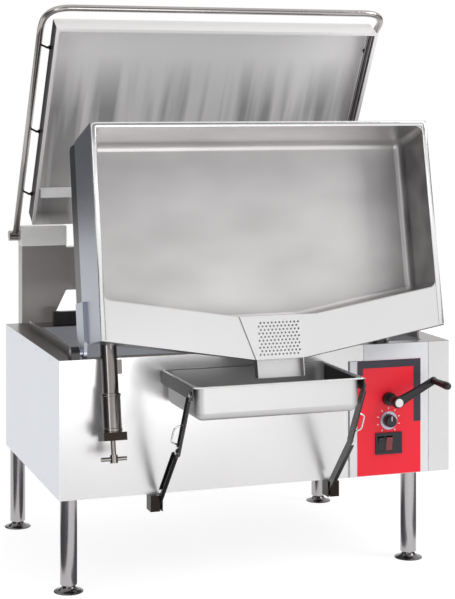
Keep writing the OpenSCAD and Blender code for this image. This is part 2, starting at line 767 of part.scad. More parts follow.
// Depth below the rim at which the sloping underside of the lip meets the upright front wall
lip_foot = 140;
lip_foot_taper = rear_taper * (lip_foot - rim_t) / (jacket_h - rim_t);
module jacket_plan(o, z, back) translate([0, 0, z]) linear_extrude(skin)
    polygon([[px0 + o, py0 + o], [px1 - o, py0 + o], [px1 - o, py1 - back - o], [px0 + o, py1 - back - o]]);
module jacket_solid(o, up) {
    hull() {
        translate([0, 0, pz1 - rim_t - skin + up]) linear_extrude(skin) polygon(rim_plan(o));
        jacket_plan(o, pz1 - lip_foot, lip_foot_taper);
    }
    hull() {
        jacket_plan(o, pz1 - lip_foot, lip_foot_taper);
        jacket_plan(o, pz0 + o, rear_taper);
    }
}
tube_x = px0 + tube_in;
tube_z = pz1 - tube_down;
tube_wall = 3;
trough_half = spout_w / 2 - 2 * lip_t;
trough_z = pz1 - spout_h;
module tube_rod(y, w, d) translate([tube_x, 0, tube_z]) rod_y(y, w, d);
module pan_jacket() color("lightsteelblue") pan_frame() difference() {
    jacket_solid(0, 0);
    jacket_solid(jacket_t, over);
    box([pcx - trough_half - gap, py0 - lip_tip - over, trough_z - lip_t - gap], [pcx + trough_half + gap, py0, pz1]);
    tube_rod(py0 + rim_w, rim_w + lip_in_side, tube_d + 2 * gap);
}
split_y = py0 + lip_in_side + vessel_r;
module pan_shell() color("silver") pan_frame() difference() {
    union() {
        vessel_solid(-vessel_t, 0);
        translate([0, 0, pz1 - rim_t]) linear_extrude(rim_t)
            polygon([[px0, split_y], [px1, split_y], [px1, py1], [px0, py1]]);
    }
    vessel_solid(0, over);
    tube_rod(py0 + 2 * lip_in_side, lip_in_side + rim_w, tube_d - 2 * tube_wall);
}
seat_w = 8;
trough_back = py0 + lip_in_mid - vessel_t;
module lip_plate() color("silver") pan_frame() difference() {
    translate([0, 0, pz1 - lip_t]) linear_extrude(lip_t) polygon([[px0, split_y], [px0, py0],
        [pcx - spout_w / 2, py0 - lip_tip], [pcx + spout_w / 2, py0 - lip_tip], [px1, py0], [px1, split_y]]);
    vessel_solid(-vessel_t, over);
    box([pcx - trough_half + lip_t, py0 - lip_tip - over, pz1 - lip_t - over],
        [pcx + trough_half - lip_t, trough_back - seat_w, pz1 + over]);
}
module spout() color("silver") pan_frame() {
    y_tip = py0 - lip_tip;
    box([pcx - trough_half, y_tip - spout_len, trough_z - lip_t], [pcx + trough_half, trough_back, trough_z]);
    box([pcx - trough_half + lip_t, trough_back - lip_t, trough_z], [pcx + trough_half - lip_t, trough_back, pz1 - lip_t]);
    for (x = [pcx - trough_half, pcx + trough_half - lip_t]) {
        box([x, y_tip, trough_z], [x + lip_t, trough_back, pz1 - lip_t]);
        box([x, y_tip - spout_len, trough_z], [x + lip_t, y_tip, pz1]);
    }
}
strain_t = 1.5;
strain_edge = 14;
strain_drop = 10;
strain_row = 0.87 * strain_pitch;
strain_rows = floor((lip_tip + lip_in_mid - vessel_t - seat_w - strain_edge - strain_d) / strain_row);
strain_cols = floor((2 * trough_half - strain_edge) / strain_pitch) - 1;
module strainer() color("gainsboro") pan_frame() {
    difference() {
        translate([0, 0, pz1]) linear_extrude(strain_t) polygon([[pcx - lip_in_w / 2, py0 + lip_in_mid],
            [pcx + lip_in_w / 2, py0 + lip_in_mid], [pcx + spout_w / 2, py0 - lip_tip], [pcx - spout_w / 2, py0 - lip_tip]]);
        for (j = [0 : strain_rows], i = [0 : strain_cols])
            translate([pcx + (i - strain_cols / 2 + (j % 2 - 0.5) / 2) * strain_pitch,
                py0 - lip_tip + strain_edge + j * strain_row, pz1 - over]) cylinder(d = strain_d, h = strain_t + 2 * over, $fn = 16);
    }
    for (x = [pcx - trough_half + lip_t + gap, pcx + trough_half - lip_t - gap - strain_t])
        box([x, py0 - strain_edge, pz1 - strain_drop], [x + strain_t, py0 + strain_edge, pz1]);
}

// Heater: thick cooking floor, elements under it, and the box below the jacket
floor_z = pz1 - vessel_h - vessel_t;
floor_in = 26;
module pan_floor_plate() color("dimgray") pan_frame()
    box([px0 + rim_w + floor_in, py0 + lip_in_side + floor_in, floor_z - floor_t],
        [px1 - rim_w - floor_in, py1 - rim_w - rear_taper - floor_in, floor_z]);
heater_edge = 6;
heater_round = 12;
heater_t = 2;
module heater_profile(o) polygon([[py0 + heater_edge + o, pz0 + 2 * o], [py0 + heater_edge + o, pz0 - heater_h + heater_round + o],
    [py0 + heater_edge + heater_round + o, pz0 - heater_h + o], [py1 - rear_taper - heater_round - heater_edge - o, pz0 - heater_h + o],
    [py1 - rear_taper - heater_edge - o, pz0 - heater_h + heater_round + o], [py1 - rear_taper - heater_edge - o, pz0 + 2 * o]]);
module heater_box() color("black") pan_frame() difference() {
    along_x(px0, heater_w) heater_profile(0);
    along_x(px0 + heater_t, heater_w - 2 * heater_t) heater_profile(heater_t);
}
element_in = 60;
element_pitch = (py1 - py0 - lip_in_side - rim_w - rear_taper - 2 * element_in) / (element_n - 1);
module heating_elements() color("sienna") pan_frame() for (i = [0 : element_n - 1])
    translate([0, py0 + lip_in_side + element_in + i * element_pitch, floor_z - floor_t - gap - element_d / 2])
        rod_x(px0 + element_in, pan_w - 2 * element_in, element_d);
board_t = 8;
board_in = 6;
module pan_insulation() color("khaki") pan_frame() for (x = [px0 + jacket_t, px1 - jacket_t - board_t])
    box([x, py0 + board_in, pz0 + jacket_t], [x + board_t, py1 - rear_taper - board_in, pz1 - rim_t - board_in]);

// Draw-off valve: tube, sleeve with an outlet below, square nut, plunger and T-bar
sleeve_y = py0 - tube_len;
nut_y = sleeve_y - sleeve_len;
tee_y = py0 - tee_reach;
stem_d = 15;
outlet_in = 24;
outlet_w = 24;
outlet_l = 56;
stub_l = 43;
stub_w = 18;
stub_out = 12;
stub_y = 72;
module drawoff_tube() color("silver") pan_frame() difference() {
    union() {
        tube_rod(py0 + lip_in_side + rim_w, lip_in_side + rim_w + tube_len, tube_d);
        tube_rod(sleeve_y, sleeve_len, sleeve_d);
        box([tube_x, py0 - stub_y - stub_l / 2, tube_z - stub_w / 2],
            [tube_x + tube_d / 2 + stub_out, py0 - stub_y + stub_l / 2, tube_z + stub_w / 2]);
    }
    tube_rod(py0 + 2 * lip_in_side, 2 * lip_in_side + tube_len + sleeve_len + over, tube_d - 2 * tube_wall);
    vessel_solid(-vessel_t, over);
    box([tube_x - outlet_w / 2, sleeve_y - outlet_in - outlet_l, tube_z - sleeve_d],
        [tube_x + outlet_w / 2, sleeve_y - outlet_in, tube_z]);
}
module drawoff_nut() color("gray") pan_frame() difference() {
    box([tube_x - nut_w / 2, nut_y - nut_t, tube_z - nut_w / 2], [tube_x + nut_w / 2, nut_y, tube_z + nut_w / 2]);
    tube_rod(nut_y + over, nut_t + 2 * over, stem_d + 2 * run);
}
plug_t = 14;
plug_back = 20;
plug_y = py0 + lip_in_side - plug_back;
module drain_plunger() color("lightgray") pan_frame() {
    tube_rod(plug_y, plug_t, tube_d - 2 * (tube_wall + run));
    tube_rod(plug_y, plug_y - tee_y, stem_d);
}
tee_d = 12;
tee_hub_d = 24;
tee_hub = 24;
module drain_tee() color("lightgray") pan_frame() difference() {
    union() {
        tube_rod(tee_y + tee_hub / 2, tee_hub, tee_hub_d);
        translate([0, tee_y, tube_z]) rod_x(tube_x - tee_len / 2, tee_len, tee_d);
    }
    tube_rod(tee_y + tee_hub / 2 + over, tee_hub / 2 + over + gap, stem_d + 2 * run);
}

// Cover, drawn closed: it reaches forward from its hinge
cx0 = -cover_left;
cx1 = cx0 + cover_w;
cover_below = 4;
cover_u = bar_d / 2 + cover_below;
bar_x0 = -bar_left;
bar_x1 = bar_x0 + bar_span;
bar_mid = (bar_x0 + bar_x1) / 2;
screw_places = [190, 440, 760];
screw_d = 8;
screw_head = 14;
screw_in = 14;
screw_z = -cover_u - cover_t - screw_head / 2 - gap;
lug_l = 22;
module screw_bores() for (u = screw_places) translate([0, -u, screw_z]) {
    rod_x(cx0 - screw_in, screw_in + cover_t + over, screw_d + 2 * run);
    rod_x(cx1 - cover_t - over, screw_in + cover_t + over, screw_d + 2 * run);
}
module cover_panel() color("silver") cover_frame() difference() {
    box([cx0, -cover_far, -cover_u - cover_h], [cx1, -cover_near, -cover_u]);
    box([cx0 + cover_t, -cover_far + cover_t, -cover_u - cover_h - over], [cx1 - cover_t, -cover_near - cover_t, -cover_u - cover_t]);
    screw_bores();
}
guide_u = 205;
guide_w = 33;
guide_h = 43;
guide_lip = 6;
guide_t = 2;
guide_in = 14;
module condensate_guide() color("white") cover_frame() translate([0, -guide_u, -cover_u - cover_t])
    along_x(cx0 + guide_in, cover_w - 2 * guide_in) polygon([[0, 0], [-hair * guide_t, 0], [-guide_w, -guide_h],
        [-guide_w, -guide_h - guide_lip], [guide_t - guide_w, -guide_h - guide_lip], [guide_t - guide_w, -guide_h]]);
collar_w = 39;
collar_gap = 0.5;
tower_x0 = -tower_left;
tower_x1 = tower_x0 + tower_w;
module both_sides() {
    children();
    translate([2 * bar_mid, 0, 0]) mirror([1, 0, 0]) children();
}
module cover_handle() color("silver") cover_frame() difference() {
    union() {
        both_sides() {
            rod_x(tower_x0 - collar_gap - collar_w, collar_w, collar_d);
            translate([bar_x0, 0, 0]) rod_y(0, bar_kink, bar_d);
            translate([bar_x0, -bar_kink, 0]) sphere(d = bar_d + gap);
        }
        for (u = screw_places) {
            box([bar_x0, -u - lug_l / 2, screw_z - screw_d], [cx0, -u + lug_l / 2, -bar_d / 4]);
            box([cx1, -u - lug_l / 2, screw_z - screw_d], [bar_x1, -u + lug_l / 2, -bar_d / 4]);
        }
        translate([0, -bar_kink, 0]) rotate([bar_drop, 0, 0]) {
            for (x = [bar_x0, bar_x1]) translate([x, 0, 0]) rod_y(0, bar_nose - bar_bend, bar_d);
            translate([0, -bar_nose, 0]) rod_x(bar_x0 + bar_bend, bar_span - 2 * bar_bend, bar_d);
            translate([bar_x0 + bar_bend, bar_bend - bar_nose, 0]) rotate([0, 0, 180])
                rotate_extrude(angle = 90) translate([bar_bend, 0]) circle(d = bar_d);
            translate([bar_x1 - bar_bend, bar_bend - bar_nose, 0]) rotate([0, 0, 270])
                rotate_extrude(angle = 90) translate([bar_bend, 0]) circle(d = bar_d);
        }
    }
    rod_x(bar_x0 - collar_d, bar_span + 2 * collar_d, hinge_d + 2 * run);
    screw_bores();
}
module cover_screws() color("dimgray") cover_frame() for (u = screw_places) translate([0, -u, screw_z]) {
    rod_x(cx0 - screw_in + gap, screw_in + cover_t, screw_d);
    rod_x(cx0 + cover_t, screw_d / 2, screw_head);
    rod_x(cx1 - cover_t - gap, screw_in + cover_t, screw_d);
    rod_x(cx1 - cover_t - screw_d / 2, screw_d / 2, screw_head);
}
module hinge_shaft() color("dimgray") cover_frame() both_sides()
    rod_x(tower_x0 - collar_gap - collar_w, collar_gap + collar_w + tower_w, hinge_d);

// Towers behind the deck, the beam between them, and a spring round each shaft
tower_front = 7;
tower_y0 = y1 - tower_front;
tower_y1 = tower_y0 + tower_dp;
tower_wall = 3;
tower_low = 276;
notch_w = 37;
notch_h = 75;
module tower_outline(o, z) polygon([[tower_x0 + o, z], [tower_x0 + o, tower_top - o], [tower_x1 - o, tower_top - o],
    [tower_x1 - o, beam_z], [tower_x1 - notch_w - o, beam_z - notch_h], [tower_x1 - notch_w - o, z]]);
module hinge_towers() color("darkgray") both_sides() difference() {
    union() {
        along_y(tower_y1, tower_dp) tower_outline(0, cab_z1);
        box([tower_x0, y1, cab_z1 - tower_low], [tower_x1 - notch_w, tower_y1, cab_z1]);
    }
    along_y(tower_y1 - tower_wall, tower_dp - 2 * tower_wall) tower_outline(tower_wall, cab_z1 + tower_wall);
    translate([0, hinge_at, hinge_z]) rod_x(tower_x0 - over, tower_w + 2 * over, hinge_d + 2 * run);
}
beam_h = 149;
beam_in = 3;
module rear_beam() color("gray") difference() {
    box([tower_x1, tower_y0 + beam_in, beam_z], [2 * bar_mid - tower_x1, tower_y1 - beam_in, beam_z + beam_h]);
    box([tower_x1 - over, tower_y0 + beam_in + tower_wall, beam_z + tower_wall],
        [2 * bar_mid - tower_x1 + over, tower_y1 - beam_in - tower_wall, beam_z + beam_h - tower_wall]);
}
spring_d = 44;
spring_bore = 30;
spring_l = 120;
module torsion_springs() color("dimgray") both_sides() translate([0, hinge_at, hinge_z]) difference() {
    rod_x(tower_x0 + tower_wall, spring_l, spring_d);
    rod_x(tower_x0 + tower_wall - over, spring_l + 2 * over, spring_bore);
}

// Receiving pan: it hangs by its rim on the two carrier rails
tx0 = -tray_left;
tx1 = tx0 + tray_w;
ty1 = y0 - gap;
ty0 = ty1 - tray_dp;
tray_r = 26;
module tray_solid(o, up) hull() for (x = [tx0 + tray_rim + tray_r + o, tx1 - tray_rim - tray_r - o],
    y = [ty0 + tray_rim + tray_r + o, ty1 - tray_rim - tray_r - o]) {
    translate([x, y, tray_z + up - skin]) cylinder(r = tray_r, h = skin, $fn = 32);
    translate([x, y, tray_z - tray_h + tray_r + o]) sphere(r = tray_r, $fn = 32);
}
module receiving_pan() color("whitesmoke") difference() {
    union() {
        tray_solid(0, 0);
        box([tx0, ty0, tray_z - tray_t], [tx1, ty1, tray_z]);
    }
    tray_solid(tray_t, over);
}

// Carrier: pivots in the plane Y and Z, then the left side, mirrored for the right
arm_r = arm_w / 2;
hang_y = y0 - pivot_out;
low_z = cab_z0 - pivot_drop;
rail_z = tray_z - tray_t - skin - rail_h + arm_r;
end_y = hang_y - rail_len;
brace = norm([end_y - hang_y, rail_z - low_z]);
brace_a = (lower_len * lower_len - upper_len * upper_len + brace * brace) / (2 * brace);
brace_h = sqrt(lower_len * lower_len - brace_a * brace_a);
brace_u = [end_y - hang_y, rail_z - low_z] / brace;
elbow = [hang_y, low_z] + brace_a * brace_u + brace_h * [-brace_u.y, brace_u.x];
rail_t = 4;
tray_mid = tx0 + tray_w / 2;
rail_x = tx0 - rail_t / 2;
upper_x = rail_x - gap - arm_t;
lower_x = upper_x - gap - arm_t;
module side(i) if (i == 0) children(); else translate([2 * tray_mid, 0, 0]) mirror([1, 0, 0]) children();
module pin_at(p, x, w, d) translate([0, p.x, p.y]) rod_x(x, w, d);
module bar_between(p, q, w) {
    v = q - p;
    translate(p) rotate(atan2(v.y, v.x)) translate([0, -w / 2]) square([norm(v), w]);
}
module rail() {
    difference() {
        union() {
            along_x(rail_x, rail_t) polygon([[hang_y, rail_z - arm_r], [end_y - arm_r, rail_z - arm_r],
                [end_y - arm_r, rail_z - arm_r + rail_h], [hang_y, rail_z - arm_r + rail_h]]);
            pin_at([hang_y, rail_z], rail_x, rail_t, arm_w);
        }
        pin_at([hang_y, rail_z], rail_x - over, rail_t + 2 * over, pivot_d + 2 * run);
    }
    pin_at([end_y, rail_z], upper_x, rail_x - upper_x, pivot_d);
}
module upper_arm() difference() {
    union() {
        along_x(upper_x, arm_t) bar_between([end_y, rail_z], elbow, arm_w);
        pin_at([end_y, rail_z], upper_x, arm_t, arm_w);
        pin_at(elbow, upper_x, arm_t, arm_w);
    }
    pin_at([end_y, rail_z], upper_x - over, arm_t + 2 * over, pivot_d + 2 * run);
}
rivet_t = 3;
module lower_arm() difference() {
    union() {
        along_x(lower_x, arm_t) bar_between([hang_y, low_z], elbow, arm_w);
        pin_at([hang_y, low_z], lower_x, arm_t, arm_w);
        pin_at(elbow, lower_x, arm_t, arm_w);
        pin_at(elbow, lower_x - rivet_t, rivet_t, 2 * pivot_d);
    }
    pin_at([hang_y, low_z], lower_x - over, arm_t + 2 * over, pivot_d + 2 * run);
}
foot_w = 34;
foot_cheek = 4;
foot_back = 20;
foot_low = 48;
hanger_t = 6;
hanger_h = 14;
module bracket() {
    difference() {
        box([lower_x - foot_w + foot_cheek, hang_y - arm_r - hair, cab_z0 - foot_low], [lower_x + arm_t + foot_cheek, y0 + foot_back, cab_z0]);
        box([lower_x - gap, hang_y - arm_r - foot_back, cab_z0 - foot_low - over], [lower_x + arm_t + gap, y0 + hair, cab_z0 + over]);
    }
    pin_at([hang_y, low_z], lower_x - gap, arm_t + 2 * gap, pivot_d);
    box([rail_x + rail_t + gap, hang_y - arm_r, rail_z - hanger_h], [rail_x + rail_t + gap + hanger_t, y0, rail_z + hanger_h]);
    pin_at([hang_y, rail_z], rail_x, rail_t + gap, pivot_d);
}
module carrier_brackets() color("dimgray") for (i = [0, 1]) side(i) bracket();
module rail_left() color("black") side(0) rail();
module rail_right() color("black") side(1) rail();
module upper_arm_left() color("slategray") side(0) upper_arm();
module upper_arm_right() color("slategray") side(1) upper_arm();
module lower_arm_left() color("slategray") side(0) lower_arm();
module lower_arm_right() color("slategray") side(1) lower_arm();

leg_tubes();
flanged_feet();
leg_sockets();
base_frame();
left_panel();
front_panel();
rear_panel();
right_panel();
console_front();
deck();
rear_rest_bar();
control_plate();
control_border();
dial_bezel();
thermostat_knob();
thermostat_body();
switch_bezel();
power_rocker();
heat_rocker();
contactor_box();
supply_gland();
crank_bearing();
crank_shaft();
crank_arm();
crank_cap();
crank_grip();
tilt_gearbox();
worm_shaft();
gear_sector();
trunnion_bearings();
trunnion_shafts();
pan_shell();
pan_floor_plate();
pan_jacket();
lip_plate();
spout();
strainer();
heater_box();
heating_elements();
pan_insulation();
drawoff_tube();
drawoff_nut();
drain_plunger();
drain_tee();
cover_panel();
condensate_guide();
cover_handle();
cover_screws();
hinge_shaft();
hinge_towers();
rear_beam();
torsion_springs();
receiving_pan();
carrier_brackets();
rail_left();
rail_right();
upper_arm_left();
upper_arm_right();
lower_arm_left();
lower_arm_right();
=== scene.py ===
"""Tilting bratt pan: the dressed model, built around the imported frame."""

import bpy
import numpy as np
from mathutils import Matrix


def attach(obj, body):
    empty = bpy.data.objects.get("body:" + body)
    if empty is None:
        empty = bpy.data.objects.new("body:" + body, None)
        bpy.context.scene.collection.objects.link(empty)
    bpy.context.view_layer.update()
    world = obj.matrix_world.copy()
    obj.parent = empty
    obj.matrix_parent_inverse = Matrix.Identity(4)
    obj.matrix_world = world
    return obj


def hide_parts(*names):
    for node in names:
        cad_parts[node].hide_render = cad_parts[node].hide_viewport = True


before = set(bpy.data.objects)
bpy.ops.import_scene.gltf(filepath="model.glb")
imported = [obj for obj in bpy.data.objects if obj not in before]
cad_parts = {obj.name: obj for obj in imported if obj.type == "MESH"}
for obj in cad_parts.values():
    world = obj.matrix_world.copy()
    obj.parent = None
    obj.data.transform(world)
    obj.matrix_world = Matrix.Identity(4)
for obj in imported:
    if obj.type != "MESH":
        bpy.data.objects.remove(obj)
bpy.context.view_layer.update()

# Studio, in metres. A pale floor in a white room, lit by soft lamps high on the right, on the left
# and low in front. Grey cards, which only gloss and glass see, stand round the object and lie on
# the floor beside it, as a photographer sets them for polished steel.
scene = bpy.context.scene
scene.view_settings.view_transform = "Standard"

PICTURE_ROWS = 599
FOCAL_ROWS = 1596.09
HORIZON_ROW = 101.402
FILM_HEIGHT = 24
EYE = (-1.6448, -5.0587, 1.4651)
EYE_TURN = np.radians(-18.777)
FAR_CLIP = 60

camera_data = bpy.data.cameras.new("camera")
camera = bpy.data.objects.new("camera", camera_data)
scene.collection.objects.link(camera)
camera.location = EYE
camera.rotation_euler = (np.pi / 2, 0, EYE_TURN)
camera_data.sensor_fit = "VERTICAL"
camera_data.sensor_height = FILM_HEIGHT
camera_data.lens = FILM_HEIGHT * FOCAL_ROWS / PICTURE_ROWS
camera_data.shift_y = (HORIZON_ROW - PICTURE_ROWS / 2) / PICTURE_ROWS
camera_data.clip_end = FAR_CLIP
scene.camera = camera


def add_node(tree, kind, inputs=(), **settings):
    """A shader node: its settings are made first, and then each input, by name or number, is linked
    to a socket or set to a value."""
    node = tree.nodes.new("ShaderNode" + kind)
    for key, value in settings.items():
        setattr(node, key, value)
    for key, value in dict(inputs).items():
        if isinstance(value, bpy.types.NodeSocket):
            tree.links.new(value, node.inputs[key])
        else:
            node.inputs[key].default_value = value
    return node


def seen_outright(tree):
    """1 where the camera, gloss or glass looks and 0 elsewhere: the greatest of those three outputs
    of Light Path."""
    path = add_node(tree, "LightPath").outputs
    looks = {0: path["Is Camera Ray"], 1: path["Is Glossy Ray"]}
    either = add_node(tree, "Math", looks, operation="MAXIMUM")
    looks = {0: either.outputs[0], 1: path["Is Transmission Ray"]}
    return add_node(tree, "Math", looks, operation="MAXIMUM").outputs[0]


def white_room(world, level):
    """White where the camera, gloss and glass look, and a plain level of light elsewhere."""
    world.use_nodes = True
    tree = world.node_tree
    tree.nodes.clear()
    light, show = (add_node(tree, "Background", {"Color": (1, 1, 1, 1), "Strength": strength}).outputs[0]
                   for strength in (level, 1.0))
    mix = add_node(tree, "MixShader", {0: seen_outright(tree), 1: light, 2: show})
    add_node(tree, "OutputWorld", {0: mix.outputs[0]})


room = bpy.data.worlds.new("room")
scene.world = room
white_room(room, level=0.55)


def lamp(name, place, aim, size, watts):
    """A square soft lamp at place, tipped up from straight down and then turned about the upright so
    that it shines on aim."""
    data = bpy.data.lights.new(name, "AREA")
    data.size = size
    data.energy = watts
    obj = bpy.data.objects.new(name, data)
    scene.collection.objects.link(obj)
    obj.location = place
    way = np.array(aim, float) - np.array(place, float)
    tip = np.arctan2(np.hypot(way[0], way[1]), -way[2])
    turn = np.arctan2(way[0], -way[1]) + np.pi
    obj.rotation_euler = (tip, 0, turn)


lamp("key_lamp", place=(3.6, -2.6, 3.6), aim=(0, 0, 0.8), size=2.4, watts=84)
lamp("fill_lamp", place=(-3.4, -3.0, 1.6), aim=(-0.4, 0, 0.5), size=2.0, watts=26)
lamp("low_lamp", place=(0.5, -3.8, 0.35), aim=(0, 0.3, 1.3), size=1.4, watts=19)


def sheet_mesh(name, corners, faces):
    """A mesh object from corner points and faces, put into the scene."""
    mesh = bpy.data.meshes.new(name)
    mesh.from_pydata([tuple(p) for p in corners], [], faces)
    mesh.update()
    obj = bpy.data.objects.new(name, mesh)
    scene.collection.objects.link(obj)
    return obj


def oblong(name, near, far):
    """A flat oblong square to the axes, from two opposite corners: its other two corners change one
    coordinate of the near one each."""
    near = np.array(near, float)
    far = np.array(far, float)
    second, fourth = (np.where(np.arange(3) == axis, far, near) for axis in np.flatnonzero(near != far))
    return sheet_mesh(name, [near, second, far, fourth], [(0, 1, 2, 3)])


def plain(name, colour, roughness):
    """A material of one colour, for the stage only."""
    mat = bpy.data.materials.new(name)
    mat.use_nodes = True
    shader = mat.node_tree.nodes["Principled BSDF"]
    shader.inputs["Base Color"].default_value = (*colour, 1)
    shader.inputs["Roughness"].default_value = roughness
    return mat


MATT = 0.9
PAPER_WHITE = (0.9, 0.9, 0.9)


def white_floor(name, glow, share):
    """White paint that the camera, gloss and glass see as a plain glow plus a share of the light
    on it, so that the open floor is white and the object's shadow stays."""
    mat = plain(name, PAPER_WHITE, MATT)
    tree = mat.node_tree
    shine = add_node(tree, "Emission", {"Strength": glow}).outputs[0]
    lit = add_node(tree, "BsdfDiffuse", {"Color": (share, share, share, 1)}).outputs[0]
    shown = add_node(tree, "AddShader", {0: shine, 1: lit}).outputs[0]
    paint = tree.nodes["Principled BSDF"].outputs[0]
    mix = add_node(tree, "MixShader", {0: seen_outright(tree), 1: paint, 2: shown})
    tree.links.new(mix.outputs[0], tree.nodes["Material Output"].inputs["Surface"])
    return mat


FLOOR_HALF = 9.0
CARD_LIFT = 0.004
CARD_BLUE_SHARE = 1.1
floor = oblong("floor", (-FLOOR_HALF, -FLOOR_HALF, 0), (FLOOR_HALF, FLOOR_HALF, 0))
floor.data.materials.append(white_floor("floor_paint", glow=0.82, share=0.35))
for side, tone, near, far in (
        ("left", 0.06, (-3.4, -3.2, 0.05), (-3.4, 1.6, 2.6)),
        ("right", 0.06, (4.4, -3.2, 0.05), (4.4, 1.6, 2.2)),
        ("behind", 0.06, (-3.2, 4.2, 0.7), (-0.9, 4.2, 3.4)),
        ("floor_left", 0.14, (-3.0, -1.7, CARD_LIFT), (-0.78, 0.3, CARD_LIFT)),
        ("floor_middle", 0.24, (-0.5, -0.6, CARD_LIFT), (0.42, 0.3, CARD_LIFT)),
        ("floor_right", 0.2, (0.8, -0.8, CARD_LIFT), (2.6, 0.4, CARD_LIFT)),
        ("above", 0.22, (-2.2, -4.4, 2.55), (3.6, -4.4, 5.5))):
    card = oblong("card_" + side, near, far)
    card.data.materials.append(plain("card_" + side, (tone, tone, tone * CARD_BLUE_SHARE), MATT))
    card.visible_camera = False
    card.visible_diffuse = False
    card.visible_shadow = False

# Legs: round stainless tube over a spigot, with a shallow dished foot flange screwed into its
# lower end, and a socket plate welded into each corner of the base frame. From here on lengths
# are millimetres, and solid() alone makes them metres.
X, Y, Z = np.eye(3)
TONE_RAMP = np.array([0.25, 0.75])
ROUGH_RAMP = (0.3, 0.7)
NOISE_DETAIL = 2.0


def linear(red, green, blue):
    """Linear light of a colour written as a screen shows it, 0 to 255."""
    c = np.array([red, green, blue], float) / 255
    return tuple(np.where(c <= 0.04045, c / 12.92, ((c + 0.055) / 1.055) ** 2.4))


def noise(tree, name, stretch):
    """Noise on the piece's own coordinates times stretch: one number, or one for each axis."""
    scale = tuple(np.broadcast_to(np.array(stretch, float), 3))
    drawn = add_node(tree, "Mapping", {"Vector": tree.nodes["place"].outputs["Object"], "Scale": scale})
    inputs = {"Vector": drawn.outputs["Vector"], "Scale": 1.0, "Detail": NOISE_DETAIL}
    return add_node(tree, "TexNoise", inputs, name=name).outputs["Fac"]


def finish(name, colour, grain=400, roughness=0.35, metallic=0.0, vary=0.03, rough_vary=0.04,
           bump=0.02, depth=0.0001, smudge=0.05, coat=0.0, drift=2.2):
    """Principled surface. Its colour, roughness and height follow a fine noise of the given grain,
    which brushing draws out along the axis of its lowest number. Its colour also follows a slow
    noise, as on handled steel and paint: the fine noise plus the slow one times smudge over vary
    takes the colour from itself less, to itself plus, its share vary plus smudge."""
    mat = bpy.data.materials.new(name)
    mat.use_nodes = True
    tree = mat.node_tree
    shader = tree.nodes["Principled BSDF"]
    shader.inputs["Metallic"].default_value = metallic
    shader.inputs["Coat Weight"].default_value = coat
    add_node(tree, "TexCoord", name="place")
    fine = noise(tree, "fine", grain)
    slow = noise(tree, "slow", drift)
    slow_share = smudge / vary
    total = add_node(tree, "Math", {0: slow, 1: slow_share, 2: fine}, operation="MULTIPLY_ADD")
    start, end = TONE_RAMP * (1 + slow_share)
    ramp = add_node(tree, "MapRange", {"Value": total.outputs[0], "From Min": start, "From Max": end})
    low, high = (np.clip(np.array(colour) * (1 + k * (vary + smudge)), 0, 1) for k in (-1, 1))
    tones = {"Factor": ramp.outputs["Result"], "A": (*low, 1), "B": (*high, 1)}
    tone = add_node(tree, "Mix", tones, data_type="RGBA", name="tone")
    rough = add_node(tree, "MapRange", {
        "Value": fine, "From Min": ROUGH_RAMP[0], "From Max": ROUGH_RAMP[1],
        "To Min": roughness - rough_vary, "To Max": roughness + rough_vary})
    relief = add_node(tree, "Bump", {"Strength": bump, "Distance": depth, "Height": fine})
    tree.links.new(tone.outputs["Result"], shader.inputs["Base Color"])
    tree.links.new(rough.outputs["Result"], shader.inputs["Roughness"])
    tree.links.new(relief.outputs["Normal"], shader.inputs["Normal"])
    return mat


def dress(material, *nodes):
    """Gives CAD nodes a finish in place of the plain one that they come with."""
    for name in nodes:
        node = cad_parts[name]
        if not node.material_slots:
            node.data.materials.append(material)
        for slot in node.material_slots:
            slot.material = material


ground_tube = finish("ground_tube", linear(176, 173, 174), grain=(90, 90, 700), roughness=0.2, metallic=1.0)
dress(ground_tube, "leg_tubes")
foot_chrome = finish("foot_chrome", linear(112, 110, 110), grain=300, roughness=0.2, metallic=1.0, vary=0.05)
dress(foot_chrome, "flanged_feet")
frame_steel = finish("frame_steel", linear(150, 150, 152), grain=(40, 600, 600), roughness=0.42,
                     metallic=1.0, vary=0.05, smudge=0.08)
dress(frame_steel, "leg_sockets", "base_frame")


def outward(points, faces):
    """The faces, all turned round if the volume that they enclose comes out negative: the sum, over
    each face's fan of triangles, of the first corner times the cross of the other two."""
    fans = [(points[f[0]], points[list(f[1:-1])], points[list(f[2:])]) for f in faces]
    volume = sum(np.cross(b, c).sum(axis=0) @ a for a, b, c in fans)
    return [f[::-1] for f in faces] if volume < 0 else faces


def solid(name, body, slot, material, points, faces, smooth=False):
    """A closed piece of the object from points in millimetres and faces, riding on its body."""
    points = np.array(points, float).reshape(-1, 3) / 1000
    obj = sheet_mesh(name, points, outward(points, faces))
    obj.data.materials.append(material)
    if smooth:
        obj.data.polygons.foreach_set("use_smooth", np.ones(len(obj.data.polygons), bool))
    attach(obj, body)
    return obj


def crease(obj, degrees):
    """Keeps the smooth shading apart where faces meet at more than this angle."""
    edge = obj.modifiers.new("edge", "EDGE_SPLIT")
    edge.split_angle = np.radians(degrees)


def grid_faces(rings, around, caps=True):
    """Faces over a grid of closed rings: each quad joins two neighbours on one ring to the same two
    on the next, and the end rings are closed by caps."""
    i, j = np.meshgrid(np.arange(rings - 1), np.arange(around), indexing="ij")
    k = (j + 1) % around
    quads = np.stack([i * around + j, i * around + k, (i + 1) * around + k, (i + 1) * around + j], -1)
    faces = quads.reshape(-1, 4).tolist()
    if caps:
        faces.append(list(range(around))[::-1])
        faces.append(list(range((rings - 1) * around, rings * around)))
    return faces


